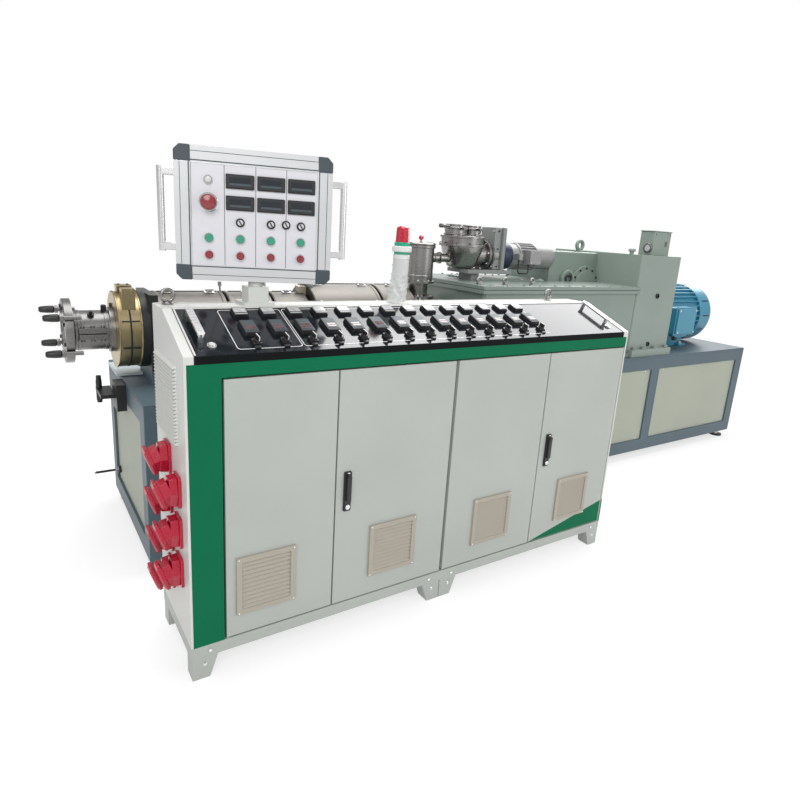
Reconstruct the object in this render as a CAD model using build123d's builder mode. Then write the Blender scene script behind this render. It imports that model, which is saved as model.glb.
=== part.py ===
from build123d import *
import os
from math import atan2, cos, degrees, hypot, radians, sin

os.makedirs("parts", exist_ok=True)

# A plastic extruder with its control cabinet. X runs along the machine from the
# die to the motor, Y from the operator's side to the back, Z up from the floor.

# Machine frame
base_length = 4500
base_depth = 880
base_top = 735
base_clearance = 55
rail = 85
post = 90
deck_thickness = 8
panel_thickness = 3
bay_posts = 5
foot_rod = 24
foot_pad = 90
foot_inset = 60
die_reach = 300
centre_height = 975
seat_gap = 0.3

# Control cabinet
bay_length = 1000
bays = 2
cabinet_depth = 390
cabinet_setback = 701
cabinet_offset = 12
leg_height = 80
leg_top = 85
leg_bottom = 57
leg_depth = 60
plinth_height = 42
body_top = 1060
band_height = 44
side_band = 100
sheet = 8
cheek = 30
console_front = 1085
ridge_top = 1188
ridge_depth = 140
ridge_thickness = 10
panel_sheet = 4

# Doors
door_thickness = 20
door_sheet = 2
hinge_gap = 7.5
door_gap = 3
door_clearance = 6
pin_radius = 2.5
pin_inset = 5
pin_reach = 25
handle_width = 30
handle_height = 150
handle_stand = 28
handle_inset = 30
handle_bottom = 495
vent_width = 206
vent_height = 208
vent_bottom = 204
vent_stand = 9
vent_slats = 11
vent_bay_offset = 250

# Console instruments
columns = 14
column_pitch = 95
first_column = 232
meter_size = 48
controller_height = 78
switch_body = 30
switch_plate = 10
switch_collar = 13
switch_collar_height = 8
switch_grip = 10
switch_grip_height = 14

# Operator box
swivel_angle = -18
operator_x = 332
operator_y = 337
operator_z = 1480
operator_width = 510
operator_height = 425
operator_front = 40
operator_back = 70
operator_rail = 50
button_pitch = 100

# Drive
gearbox_left = 1765
gearbox_right = 3096
gearbox_front = 760
gearbox_back = 1522
gearbox_split = 1192
reducer_left = 2625
reducer_front = 1120
reducer_top = 1410
housing_right = 3535
motor_radius = 225
motor_end = 4340

# Feeder
feeder_station = 1900
feeder_bed = 1256
hopper_cx = 1832
hopper_bore = 52
hopper_top = 1529
hopper_depth = 75
outlet_bore = 38

# Placement: the origin is on the floor under the middle of the whole outline
overall_length = die_reach + base_length
overall_depth = handle_stand + cabinet_setback + base_depth
base_x0 = die_reach - overall_length / 2
base_x1 = base_x0 + base_length
cab_x0 = base_x0 - cabinet_offset
cab_x1 = cab_x0 + bays * bay_length
cab_y0 = handle_stand - overall_depth / 2
cab_y1 = cab_y0 + cabinet_depth
base_y0 = cab_y0 + cabinet_setback
base_y1 = base_y0 + base_depth
axis_y = base_y0 + base_depth / 2
plinth_top = leg_height + plinth_height
band_bottom = body_top - band_height
interior_x0 = cab_x0 + sheet
interior_x1 = cab_x1 - sheet
slope_run = cabinet_depth - ridge_depth
slope_rise = ridge_top - console_front
slope_angle = degrees(atan2(slope_rise, slope_run))


def export(builder, label):
    builder.part.label = label
    export_step(builder.part, f"parts/{label}.step")


# Door leaves between the seams, each with its pin at the hinge side
door_bottom = plinth_top + door_clearance
door_top = band_bottom - door_clearance
band_depth = door_thickness
first_door_x = interior_x0 + side_band
door_edges = []
for index in range(2 * bays):
    seam_left = cab_x0 + index * bay_length / 2
    seam_right = seam_left + bay_length / 2
    hinge_left = index % 2 == 0
    if index == 0:
        seam_left = first_door_x
    if index == 2 * bays - 1:
        seam_right = interior_x1
    left = seam_left + (hinge_gap if hinge_left else door_gap)
    right = seam_right - (door_gap if hinge_left else hinge_gap)
    door_edges.append((left, right, hinge_left))
pin_spots = []
for left, right, hinge_left in door_edges:
    pin_x = left + pin_inset if hinge_left else right - pin_inset
    pin_spots.append((pin_x, cab_y0 + pin_inset))

# Cabinet plinth with its floor and the lower door pins, open below
with BuildPart() as cabinet_floor:
    with BuildSketch(Plane.XY.offset(leg_height)):
        with Locations(((cab_x0 + cab_x1) / 2, (cab_y0 + cab_y1) / 2)):
            Rectangle(bays * bay_length, cabinet_depth)
            Rectangle(bays * bay_length - 2 * door_thickness, cabinet_depth - 2 * door_thickness,
                      mode=Mode.SUBTRACT)
    extrude(amount=plinth_height)
    with BuildSketch(Plane.XY.offset(plinth_top - sheet)):
        with Locations(((cab_x0 + cab_x1) / 2, (cab_y0 + cab_y1) / 2)):
            Rectangle(bays * bay_length, cabinet_depth)
    extrude(amount=sheet)
    with BuildSketch(Plane.XY.offset(plinth_top)):
        with Locations(*pin_spots):
            Circle(pin_radius)
    extrude(amount=pin_reach)
export(cabinet_floor, "cabinet_floor")

# Tapered sheet legs, four under each bay, the taper on the inner side
with BuildPart() as cabinet_legs:
    for bay in range(bays):
        left = cab_x0 + bay * bay_length
        for side, x in ((1, left + door_gap / 2), (-1, left + bay_length - door_gap / 2)):
            for y in (cab_y0 + leg_depth, cab_y1):
                with BuildSketch(Plane.XZ.offset(-y)):
                    with BuildLine():
                        Polyline((x, leg_height), (x, 0), (x + side * leg_bottom, 0),
                                 (x + side * leg_top, leg_height), close=True)
                    make_face()
                extrude(amount=leg_depth)
export(cabinet_legs, "cabinet_legs")

# End walls: a plate with the console's profile, a broad cheek beside the console
# and, on the left one, a field of raised louvre slats
louvre_slats = 22
louvre_bottom = 790
louvre_pitch = 11.4
louvre_y0 = 88
louvre_y1 = 345
louvre_stand = 12
louvre_lip = 2
end_profile = (
    (cab_y1, ridge_top), (cab_y0 + slope_run, ridge_top), (cab_y0, console_front),
)
with BuildPart() as cabinet_ends:
    for outer, inward in ((cab_x0, 1), (cab_x1, -1)):
        for bottom, thickness in ((plinth_top, sheet), (body_top, cheek)):
            with BuildSketch(Plane.YZ.offset(outer)):
                with BuildLine():
                    Polyline((cab_y0, bottom), (cab_y1, bottom), *end_profile, close=True)
                make_face()
            extrude(amount=inward * thickness)
    with BuildSketch(Plane.XZ.offset(-(cab_y0 + louvre_y0))):
        for row in range(louvre_slats):
            z = louvre_bottom + row * louvre_pitch
            with BuildLine():
                Polyline((cab_x0, z), (cab_x0 - louvre_stand, z + louvre_lip / 2),
                         (cab_x0 - louvre_stand, z + 2 * louvre_lip),
                         (cab_x0, z + louvre_pitch), close=True)
            make_face()
    extrude(amount=-(louvre_y1 - louvre_y0))
export(cabinet_ends, "cabinet_ends")

# Back wall with the double wall between the two bays
divider_thickness = 2 * sheet
divider_front = cab_y0 + door_thickness + door_clearance
with BuildPart() as cabinet_back:
    with BuildSketch(Plane.XY.offset(plinth_top)):
        with Locations(((cab_x0 + cab_x1) / 2, cab_y1 - sheet / 2)):
            Rectangle(interior_x1 - interior_x0, sheet)
    extrude(amount=body_top - plinth_top)
    with BuildSketch(Plane.XY.offset(plinth_top)):
        with Locations(((cab_x0 + cab_x1) / 2, (divider_front + cab_y1 - sheet) / 2)):
            Rectangle(divider_thickness, cab_y1 - sheet - divider_front)
    extrude(amount=body_top - plinth_top)
export(cabinet_back, "cabinet_back")

# Green band across the top of the doors and down the left side, with the upper door pins
with BuildPart() as green_band:
    with BuildSketch(Plane.XY.offset(band_bottom)):
        with Locations(((interior_x0 + interior_x1) / 2, cab_y0 + band_depth / 2)):
            Rectangle(interior_x1 - interior_x0, band_depth)
    extrude(amount=band_height)
    with BuildSketch(Plane.XY.offset(plinth_top)):
        with Locations((interior_x0 + side_band / 2, cab_y0 + band_depth / 2)):
            Rectangle(side_band, band_depth)
    extrude(amount=band_bottom - plinth_top)
    with BuildSketch(Plane.XY.offset(band_bottom)):
        with Locations(*pin_spots):
            Circle(pin_radius)
    extrude(amount=-pin_reach)
export(green_band, "green_band")

# Doors: folded steel trays on pins, each with a window for its vent filter
for index, (left, right, hinge_left) in enumerate(door_edges):
    vent_x = cab_x0 + vent_bay_offset + index * bay_length / 2
    pin_x, pin_y = pin_spots[index]
    width = right - left
    with BuildPart() as door:
        with BuildSketch(Plane.XZ.offset(-cab_y0)):
            with Locations(((left + right) / 2, (door_bottom + door_top) / 2)):
                Rectangle(width, door_top - door_bottom)
        extrude(amount=-door_thickness)
        back_face = faces().sort_by(Axis.Y)[-1]
        offset(amount=-door_sheet, openings=back_face)
        for z0 in (door_bottom, door_top - pin_reach):
            with BuildSketch(Plane.XY.offset(z0)):
                with Locations((pin_x, pin_y)):
                    Circle(pin_inset)
            extrude(amount=pin_reach)
        with BuildSketch(Plane.XY.offset(door_bottom)):
            with Locations((pin_x, pin_y)):
                Circle(pin_radius + seat_gap)
        extrude(amount=door_top - door_bottom, mode=Mode.SUBTRACT)
        with BuildSketch(Plane.XZ.offset(-cab_y0)):
            with Locations((vent_x, vent_bottom + vent_height / 2)):
                Rectangle(vent_width - 2 * vent_stand, vent_height - 2 * vent_stand)
        extrude(amount=-door_thickness, mode=Mode.SUBTRACT)
    export(door, f"door_{index + 1}")

    # Vent filter: a frame with sloping slats and the filter box behind the door
    slat_pitch = (vent_height - 4 * vent_stand) / vent_slats
    with BuildPart() as vent:
        with BuildSketch(Plane.XZ.offset(-cab_y0)):
            with Locations((vent_x, vent_bottom + vent_height / 2)):
                Rectangle(vent_width, vent_height)
                Rectangle(vent_width - 4 * vent_stand, vent_height - 4 * vent_stand,
                          mode=Mode.SUBTRACT)
        extrude(amount=vent_stand)
        with BuildSketch(Plane.YZ.offset(vent_x - vent_width / 2 + vent_stand)):
            for row in range(vent_slats):
                z = vent_bottom + 2 * vent_stand + row * slat_pitch
                with BuildLine():
                    Polyline((cab_y0 + 1, z + 1), (cab_y0 - vent_stand + 1, z + 1),
                             (cab_y0 + 1, z + slat_pitch - 1), close=True)
                make_face()
        extrude(amount=vent_width - 2 * vent_stand)
        with BuildSketch(Plane.XZ.offset(-cab_y0)):
            with Locations((vent_x, vent_bottom + vent_height / 2)):
                Rectangle(vent_width - 2 * vent_stand - 1, vent_height - 2 * vent_stand - 1)
        extrude(amount=-door_thickness)
    export(vent, f"vent_{index + 1}")

# Swing handles near the free edges of the second and fourth doors
for index in (1, 3):
    left, right, hinge_left = door_edges[index]
    handle_x = left + handle_inset + handle_width / 2
    with BuildPart() as door_handle:
        with BuildSketch(Plane.XZ.offset(-cab_y0)):
            with Locations((handle_x, handle_bottom + handle_height / 2)):
                RectangleRounded(handle_width, handle_height, radius=8)
        extrude(amount=handle_stand / 2)
        with BuildSketch(Plane.XZ.offset(-cab_y0 + handle_stand / 2)):
            with Locations((handle_x, handle_bottom + handle_height / 2)):
                RectangleRounded(handle_width * 0.7, handle_height * 0.86, radius=6)
        extrude(amount=handle_stand / 2, taper=8)
    export(door_handle, f"door_{index + 1}_handle")

# Console ridge: the flat top behind the sloping panel, folded down at both edges
slope_dir = (cos(radians(slope_angle)), sin(radians(slope_angle)))
with BuildPart() as console_ridge:
    with BuildSketch(Plane.YZ.offset(cab_x0 + cheek)):
        with BuildLine():
            Polyline((cab_y0 + slope_run, ridge_top), (cab_y1, ridge_top),
                     (cab_y1, body_top), (cab_y1 - sheet, body_top),
                     (cab_y1 - sheet, ridge_top - ridge_thickness),
                     (cab_y0 + slope_run + sheet, ridge_top - ridge_thickness),
                     (cab_y0 + slope_run + sheet, ridge_top - 5 * ridge_thickness),
                     (cab_y0 + slope_run, ridge_top - 5 * ridge_thickness), close=True)
        make_face()
        ridge_corner = vertices().group_by(Axis.Y)[-1].sort_by(Axis.X)[0]
        fillet(ridge_corner, radius=6)
    extrude(amount=cab_x1 - cab_x0 - 2 * cheek)
export(console_ridge, "console_ridge")

# Sloping console panel with its folded front lip
with BuildPart() as console_panel:
    with BuildSketch(Plane.YZ.offset(cab_x0 + cheek)):
        with BuildLine():
            Polyline((cab_y0, body_top), (cab_y0, console_front),
                     (cab_y0 + slope_run, ridge_top),
                     (cab_y0 + slope_run, ridge_top - 2 * panel_sheet),
                     (cab_y0 + 2 * panel_sheet, console_front - panel_sheet),
                     (cab_y0 + 2 * panel_sheet, body_top), close=True)
        make_face()
    extrude(amount=cab_x1 - cab_x0 - 2 * cheek)
export(console_panel, "console_panel")

# Plane of the sloping panel: local x along the machine, local y up the slope
slope_plane = Plane(
    origin=(cab_x0, cab_y0, console_front),
    x_dir=(1, 0, 0),
    z_dir=(0, -slope_dir[1], slope_dir[0]),
)
slope_length = hypot(slope_run, slope_rise)
column_xs = [first_column + column_pitch * column for column in range(columns)]

# Each column has an ammeter, a temperature controller and a rotary switch with a bar grip
meter_y = slope_length - 45
controller_y = slope_length - 142
switch_y = 52
bezel_height = 12
with BuildPart() as panel_instruments:
    for column_x in column_xs:
        with BuildSketch(slope_plane):
            with Locations((column_x, meter_y)):
                RectangleRounded(meter_size, meter_size, radius=3)
            with Locations((column_x, controller_y)):
                RectangleRounded(meter_size, controller_height, radius=3)
        extrude(amount=bezel_height)
        with BuildSketch(slope_plane):
            with Locations((column_x, switch_y)):
                RectangleRounded(switch_body, switch_body, radius=3)
        extrude(amount=switch_plate)
        with BuildSketch(slope_plane.offset(switch_plate)):
            with Locations((column_x, switch_y)):
                Circle(switch_collar)
        extrude(amount=switch_collar_height)
        with BuildSketch(slope_plane.offset(switch_plate + switch_collar_height)):
            with Locations((column_x, switch_y)):
                RectangleRounded(switch_grip, 2 * switch_collar, radius=4)
        extrude(amount=switch_grip_height)
export(panel_instruments, "panel_instruments")

# Bar handles near the ends of the panel, and quarter-turn locks in its lower corners
panel_handle_xs = (68, bays * bay_length - 92)
panel_lock_xs = (94, bays * bay_length - 100)
bar_bottom = 66
bar_top = slope_length - 34
bar_width = 22
bar_stand = 22
bar_thickness = 8
stud_radius = 8
lock_y = 50
lock_radius = 14
lock_height = 4
with BuildPart() as panel_handles:
    for handle_x in panel_handle_xs:
        with BuildSketch(slope_plane):
            with Locations((handle_x, bar_bottom + bar_width / 2), (handle_x, bar_top - bar_width / 2)):
                Circle(stud_radius)
        extrude(amount=bar_stand)
        with BuildSketch(slope_plane.offset(bar_stand)):
            with Locations((handle_x, (bar_bottom + bar_top) / 2)):
                SlotOverall(bar_top - bar_bottom, bar_width, rotation=90)
        extrude(amount=bar_thickness)
    for lock_x in panel_lock_xs:
        for radius, height in ((lock_radius, lock_height), (lock_radius * 0.65, 2 * lock_height)):
            with BuildSketch(slope_plane):
                with Locations((lock_x, lock_y)):
                    Circle(radius)
            extrude(amount=height)
export(panel_handles, "panel_handles")

# Industrial sockets on the left end wall, in two staggered columns, mouths tilted down
socket_spots = (
    (105, 640), (105, 500), (105, 360),
    (225, 710), (225, 570), (225, 430), (225, 290),
)
socket_width = 84
socket_height = 104
socket_back = 34
socket_radius = 40
socket_reach = 34
socket_bore = 31
socket_depth = 40
socket_tilt = 0.35
mouth_dir = (-1, 0, -socket_tilt)
with BuildPart() as end_sockets:
    for y, z in socket_spots:
        with BuildSketch(Plane.YZ.offset(cab_x0)):
            with Locations((cab_y0 + y, z)):
                RectangleRounded(socket_width, socket_height, radius=14)
        extrude(amount=-socket_back)
        mouth = Plane(origin=(cab_x0 - socket_back + 4, cab_y0 + y, z), x_dir=(0, 1, 0), z_dir=mouth_dir)
        with BuildSketch(mouth):
            Circle(socket_radius)
        extrude(amount=socket_reach)
        with BuildSketch(mouth.offset(socket_reach)):
            Circle(socket_bore)
        extrude(amount=-socket_depth, mode=Mode.SUBTRACT)
export(end_sockets, "end_sockets")

# Lifting eyes on the ridge
eye_y = cab_y1 - 40
eye_radius = 25
eye_hole = 14
eye_thickness = 12
collar_thickness = 8
with BuildPart() as lifting_eyes:
    for eye_x in (cab_x0 + 40, cab_x0 + 1815):
        with BuildSketch(Plane.XY.offset(ridge_top)):
            with Locations((eye_x, eye_y)):
                Circle(1.5 * eye_thickness)
        extrude(amount=collar_thickness)
        with BuildSketch(Plane.XZ.offset(-(eye_y + eye_thickness / 2))):
            with Locations((eye_x, ridge_top + eye_radius + collar_thickness / 2)):
                Circle(eye_radius)
                Circle(eye_hole, mode=Mode.SUBTRACT)
        extrude(amount=eye_thickness)
export(lifting_eyes, "lifting_eyes")

# Signal beacon on the ridge, beside the operator box
beacon_x = cab_x0 + 925
beacon_y = cab_y0 + slope_run + ridge_depth / 2
beacon_profile = (
    (40, 0), (44, 20), (40, 70), (33, 82), (31, 186), (30, 192), (30, 200), (33, 200),
    (33, 224), (30, 226), (30, 238), (27, 242), (27, 290), (20, 301), (0, 303), (0, 0),
)
with BuildPart() as beacon:
    with BuildSketch(Plane(origin=(beacon_x, beacon_y, ridge_top), x_dir=(1, 0, 0), z_dir=(0, -1, 0))):
        with BuildLine():
            Polyline(*beacon_profile, close=True)
        make_face()
    revolve(axis=Axis((beacon_x, beacon_y, 0), (0, 0, 1)), revolution_arc=360)
export(beacon, "beacon")

# Operator box on its swivel post. Local x runs along the face, local y is up.
turn = radians(swivel_angle)
box_plane = Plane(
    origin=(cab_x0 + operator_x, cab_y0 + operator_y, operator_z),
    x_dir=(cos(turn), sin(turn), 0),
    z_dir=(sin(turn), -cos(turn), 0),
)
post_size = 74
collar_height = 18
post_top = operator_z - operator_height / 2 - collar_height
with BuildPart() as operator_post:
    with BuildSketch(Plane.XY.offset(ridge_top)):
        with Locations((cab_x0 + operator_x, cab_y0 + operator_y)):
            RectangleRounded(112, 100, radius=10)
    extrude(amount=10)
    with BuildSketch(Plane.XY.offset(ridge_top + 10)):
        with Locations((cab_x0 + operator_x, cab_y0 + operator_y)):
            RectangleRounded(post_size, post_size, radius=6)
    extrude(amount=post_top - ridge_top - 10)
    with BuildSketch(Plane.XY.offset(post_top)):
        with Locations((cab_x0 + operator_x, cab_y0 + operator_y)):
            Circle(24)
    extrude(amount=collar_height - seat_gap)
export(operator_post, "operator_post")

half_w = operator_width / 2
half_h = operator_height / 2
frame_depth = 34
face_width = operator_width - 2 * operator_rail
face_height = operator_height - 2 * operator_rail
face_z = operator_front - 2
with BuildPart() as operator_box:
    with BuildSketch(box_plane.offset(face_z)):
        Rectangle(face_width, face_height)
    extrude(amount=-frame_depth)
    with BuildSketch(box_plane.offset(operator_front - frame_depth)):
        RectangleRounded(operator_width - operator_rail, operator_height - operator_rail, radius=12)
    extrude(amount=-(operator_front - frame_depth + operator_back))
    with BuildSketch(box_plane.offset(face_z)):
        with GridLocations(button_pitch, 1, 3, 1):
            Rectangle(1.5, face_height)
    extrude(amount=-1.5, mode=Mode.SUBTRACT)
export(operator_box, "operator_box")

with BuildPart() as operator_frame:
    with BuildSketch(box_plane.offset(operator_front)):
        Rectangle(face_width, operator_height)
        Rectangle(operator_width, face_height)
        Rectangle(face_width, face_height, mode=Mode.SUBTRACT)
    extrude(amount=-frame_depth)
export(operator_frame, "operator_frame")

with BuildPart() as operator_corners:
    for sx in (-1, 1):
        for sy in (-1, 1):
            with BuildSketch(box_plane.offset(operator_front + 1)):
                with BuildLine():
                    Polyline(
                        (sx * (half_w - operator_rail), sy * (half_h - operator_rail)),
                        (sx * half_w, sy * (half_h - operator_rail)),
                        (sx * half_w, sy * (half_h - 18)),
                        (sx * (half_w - 18), sy * half_h),
                        (sx * (half_w - operator_rail), sy * half_h),
                        close=True,
                    )
                make_face()
            extrude(amount=-frame_depth - 1)
export(operator_corners, "operator_corners")

# Instruments on the face: six meters, a lamp, three knobs, two rows of buttons, a stop button
face_columns = [button_pitch * (index - 1.5) for index in range(4)]
meter_rows = (110, 42)
button_rows = (-73, -128)
knob_row = -19
stop_row = 40
button_radius = 14
button_stand = 12
stop_steps = ((30, 0, 6), (12, 6, 20), (20, 20, 30))
with BuildPart() as operator_instruments:
    with BuildSketch(box_plane.offset(face_z)):
        for y in meter_rows:
            with Locations(*((x, y) for x in face_columns[1:])):
                RectangleRounded(91, 46, radius=3)
    extrude(amount=8)
    with BuildSketch(box_plane.offset(face_z)):
        with Locations((face_columns[0], meter_rows[0])):
            Circle(button_radius)
        for y in button_rows:
            with Locations(*((x, y) for x in face_columns)):
                Circle(button_radius)
        with Locations(*((x, knob_row) for x in face_columns[1:])):
            Circle(button_radius)
    extrude(amount=button_stand)
    for radius, start, end in stop_steps:
        with BuildSketch(box_plane.offset(face_z + start)):
            with Locations((face_columns[0], stop_row)):
                Circle(radius)
        extrude(amount=end - start)
export(operator_instruments, "operator_instruments")

# Side grips: a round bar on two brackets at each side
grip_low = -123
grip_high = 142
grip_radius = 11
grip_depth = 20
bracket_rows = (128, -106)
grip_x = half_w + 42
with BuildPart() as operator_handles:
    for sx in (-1, 1):
        for y in bracket_rows:
            with BuildSketch(Plane(origin=box_plane.from_local_coords((sx * half_w, y, grip_depth)),
                                   x_dir=(0, 0, 1), z_dir=box_plane.x_dir * sx)):
                RectangleRounded(26, grip_depth, radius=4)
            extrude(amount=grip_x - half_w)
        with BuildSketch(Plane(origin=box_plane.from_local_coords((sx * grip_x, grip_low, grip_depth)),
                               x_dir=box_plane.x_dir, z_dir=(0, 0, 1))):
            Circle(grip_radius)
        extrude(amount=grip_high - grip_low)
export(operator_handles, "operator_handles")

# Machine frame: rails along the top and bottom of both sides, posts between them
with BuildPart() as base_frame:
    for z in (base_clearance, base_top - rail):
        with BuildSketch(Plane.XY.offset(z)):
            with Locations(((base_x0 + base_x1) / 2, axis_y)):
                Rectangle(base_length, base_depth)
                Rectangle(base_length - 2 * post, base_depth - 2 * post, mode=Mode.SUBTRACT)
        extrude(amount=rail)
    with BuildSketch(Plane.XY.offset(base_clearance)):
        with Locations(((base_x0 + base_x1) / 2, axis_y)):
            with GridLocations((base_length - post) / (bay_posts - 1), base_depth - post,
                               bay_posts, 2):
                Rectangle(post, post)
    extrude(amount=base_top - base_clearance)
export(base_frame, "base_frame")

bay_width = (base_length - post) / (bay_posts - 1) - post
panel_height = base_top - base_clearance - 2 * rail
panel_recess = 12
with BuildPart() as base_panels:
    for index in range(bay_posts - 1):
        x0 = base_x0 + post + index * (bay_width + post)
        for y in (base_y0 + panel_recess, base_y1 - panel_recess - panel_thickness):
            with BuildSketch(Plane.XZ.offset(-y)):
                with Locations((x0 + bay_width / 2, base_clearance + rail + panel_height / 2)):
                    Rectangle(bay_width, panel_height)
            extrude(amount=-panel_thickness)
    for x in (base_x0 + panel_recess, base_x1 - panel_recess - panel_thickness):
        with BuildSketch(Plane.YZ.offset(x)):
            with Locations((axis_y, base_clearance + rail + panel_height / 2)):
                Rectangle(base_depth - 2 * post, panel_height)
        extrude(amount=panel_thickness)
export(base_panels, "base_panels")

with BuildPart() as base_deck:
    with BuildSketch(Plane.XY.offset(base_top)):
        with Locations(((base_x0 + base_x1) / 2, axis_y)):
            Rectangle(base_length, base_depth)
    extrude(amount=deck_thickness)
export(base_deck, "base_deck")
deck_top = base_top + deck_thickness

foot_count = 4
with BuildPart() as levelling_feet:
    foot_span = base_length - 2 * foot_inset
    with BuildSketch(Plane.XY):
        with Locations(((base_x0 + base_x1) / 2, axis_y)):
            with GridLocations(foot_span / (foot_count - 1), base_depth - 2 * foot_inset,
                               foot_count, 2):
                Circle(foot_pad / 2)
    extrude(amount=14)
    with BuildSketch(Plane.XY.offset(14)):
        with Locations(((base_x0 + base_x1) / 2, axis_y)):
            with GridLocations(foot_span / (foot_count - 1), base_depth - 2 * foot_inset,
                               foot_count, 2):
                Circle(foot_rod / 2)
    extrude(amount=base_clearance - 14)
export(levelling_feet, "levelling_feet")

# Barrel line. Every station is measured from the left end of the machine frame.
bolt_reach = 78
flange_front = -222
flange_thickness = 32
flange_radius = 135
adapter_end = -50
ring_end = -30
band_end = 66
plate_end = 95
axis_plane = Plane(origin=(base_x0, axis_y, centre_height), x_dir=(0, 1, 0), z_dir=(1, 0, 0))
melt_bore = 30
adapter_radius = 84
ring_radius = 97

with BuildPart() as die_adapter:
    with BuildSketch(axis_plane.offset(flange_front)):
        Circle(flange_radius)
        Circle(melt_bore, mode=Mode.SUBTRACT)
    extrude(amount=flange_thickness)
    chamfer(edges().filter_by(GeomType.CIRCLE).sort_by(Axis.X)[:1], length=2)
    with BuildSketch(axis_plane.offset(flange_front + flange_thickness)):
        Circle(adapter_radius)
        Circle(melt_bore, mode=Mode.SUBTRACT)
    extrude(amount=adapter_end - flange_front - flange_thickness)
    with BuildSketch(axis_plane.offset(adapter_end)):
        Circle(ring_radius)
        Circle(melt_bore, mode=Mode.SUBTRACT)
    extrude(amount=ring_end - adapter_end)
export(die_adapter, "die_adapter")

# Swing bolts on the flange, each with an eye, a stud and a tapered black grip
with BuildPart() as swing_bolts:
    for angle in (30, 150, 210, 330):
        spot = axis_plane.offset(flange_front) * Location((flange_radius * cos(radians(angle)),
                                                          flange_radius * sin(radians(angle)), 0))
        bolt_plane = Plane(spot)
        with BuildSketch(bolt_plane.offset(flange_thickness)):
            with Locations((cos(radians(angle)) * 11, sin(radians(angle)) * 11)):
                Circle(11)
        extrude(amount=-flange_thickness - 16)
        with BuildSketch(bolt_plane.offset(-16)):
            with Locations((cos(radians(angle)) * 11, sin(radians(angle)) * 11)):
                RegularPolygon(17, 6)
        extrude(amount=-(bolt_reach - 16), taper=2)
export(swing_bolts, "swing_bolts")

with BuildPart() as heater_band:
    with BuildSketch(axis_plane.offset(ring_end)):
        Circle(164)
        Circle(melt_bore, mode=Mode.SUBTRACT)
    extrude(amount=band_end - ring_end)
    with BuildSketch(Plane(origin=(base_x0 + (ring_end + band_end) / 2, axis_y,
                                   centre_height + 100))):
        with Locations((0, -100)):
            Rectangle(52, 60)
    extrude(amount=90)
export(heater_band, "heater_band")

with BuildPart() as barrel_flange:
    with BuildSketch(axis_plane.offset(band_end)):
        Circle(170)
        Circle(melt_bore, mode=Mode.SUBTRACT)
    extrude(amount=plate_end - band_end)
    with BuildSketch(axis_plane.offset(plate_end)):
        Rectangle(300, 330)
    extrude(amount=35)
export(barrel_flange, "barrel_flange")
cover_start = plate_end + 35

# Barrel with its square feed section, and a stainless cover over every heating zone
gearbox_x0 = cab_x0 + gearbox_left
barrel_end = gearbox_x0 - base_x0
barrel_radius = 120
feed_start = 1470
feed_end = 1680
feed_half = 132
zones = (
    (cover_start, 440, 165), (452, 660, 165), (672, 850, 165),
    (862, 1245, 205), (1257, 1460, 205),
)
with BuildPart() as barrel:
    with BuildSketch(axis_plane.offset(cover_start)):
        Circle(barrel_radius)
    extrude(amount=barrel_end - cover_start)
    with BuildSketch(axis_plane.offset(feed_start)):
        Rectangle(2 * feed_half, 2 * feed_half)
    extrude(amount=feed_end - feed_start)
export(barrel, "barrel")

with BuildPart() as barrel_covers:
    for start, end, radius in zones:
        with BuildSketch(axis_plane.offset(start)):
            Circle(radius)
            Circle(barrel_radius + seat_gap, mode=Mode.SUBTRACT)
        extrude(amount=end - start)
export(barrel_covers, "barrel_covers")

# Pedestals that carry the front plate and the feed section on the deck
with BuildPart() as barrel_supports:
    for start, end, top in ((cover_start - 35, cover_start, centre_height - 165),
                            (feed_start, feed_end, centre_height - feed_half)):
        with BuildSketch(Plane.XY.offset(deck_top)):
            with Locations((base_x0 + (start + end) / 2, axis_y)):
                Rectangle(end - start, 2 * feed_half)
        extrude(amount=top - deck_top)
export(barrel_supports, "barrel_supports")

# Feed throat: nipple and flange on the feed section, cylinder and cross tube above
throat_x = base_x0 + (feed_start + feed_end) / 2
throat_radius = 82
throat_wall = 4
throat_top = 1410
throat_bottom = 1205
tube_radius = 24
tube_z = 1335
with BuildPart() as feed_throat:
    with BuildSketch(Plane.XY.offset(centre_height + feed_half)):
        with Locations((throat_x, axis_y)):
            Circle(58)
    extrude(amount=throat_bottom - centre_height - feed_half)
    with BuildSketch(Plane.XY.offset(throat_bottom)):
        with Locations((throat_x, axis_y)):
            Circle(throat_radius)
    extrude(amount=throat_top - throat_bottom)
    with BuildSketch(Plane.XY.offset(throat_bottom - 12)):
        with Locations((throat_x, axis_y)):
            Circle(throat_radius + 12)
    extrude(amount=12)
export(feed_throat, "feed_throat")

# Gearbox: lower case up to the split line, tall end housing and the rear upper case
gearbox_x1 = cab_x0 + gearbox_right
gearbox_y0 = cab_y0 + gearbox_front
gearbox_y1 = cab_y0 + gearbox_back
reducer_y0 = cab_y0 + reducer_front
reducer_x0 = cab_x0 + reducer_left
housing_x1 = cab_x0 + housing_right
with BuildPart() as gearbox_lower:
    with BuildSketch(Plane.XY.offset(deck_top)):
        with Locations(((gearbox_x0 + gearbox_x1) / 2, (gearbox_y0 + gearbox_y1) / 2)):
            Rectangle(gearbox_x1 - gearbox_x0, gearbox_y1 - gearbox_y0)
    extrude(amount=gearbox_split - deck_top)
    fillet(edges().filter_by(Axis.Z), radius=18)
export(gearbox_lower, "gearbox_lower")

with BuildPart() as gearbox_upper:
    with BuildSketch(Plane.XY.offset(gearbox_split)):
        with Locations(((reducer_x0 + gearbox_x1) / 2, (reducer_y0 + gearbox_y1) / 2)):
            Rectangle(gearbox_x1 - reducer_x0, gearbox_y1 - reducer_y0)
    extrude(amount=reducer_top - gearbox_split)
    fillet(edges().filter_by(Axis.X).group_by(Axis.Z)[-1], radius=10)
export(gearbox_upper, "gearbox_upper")

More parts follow.
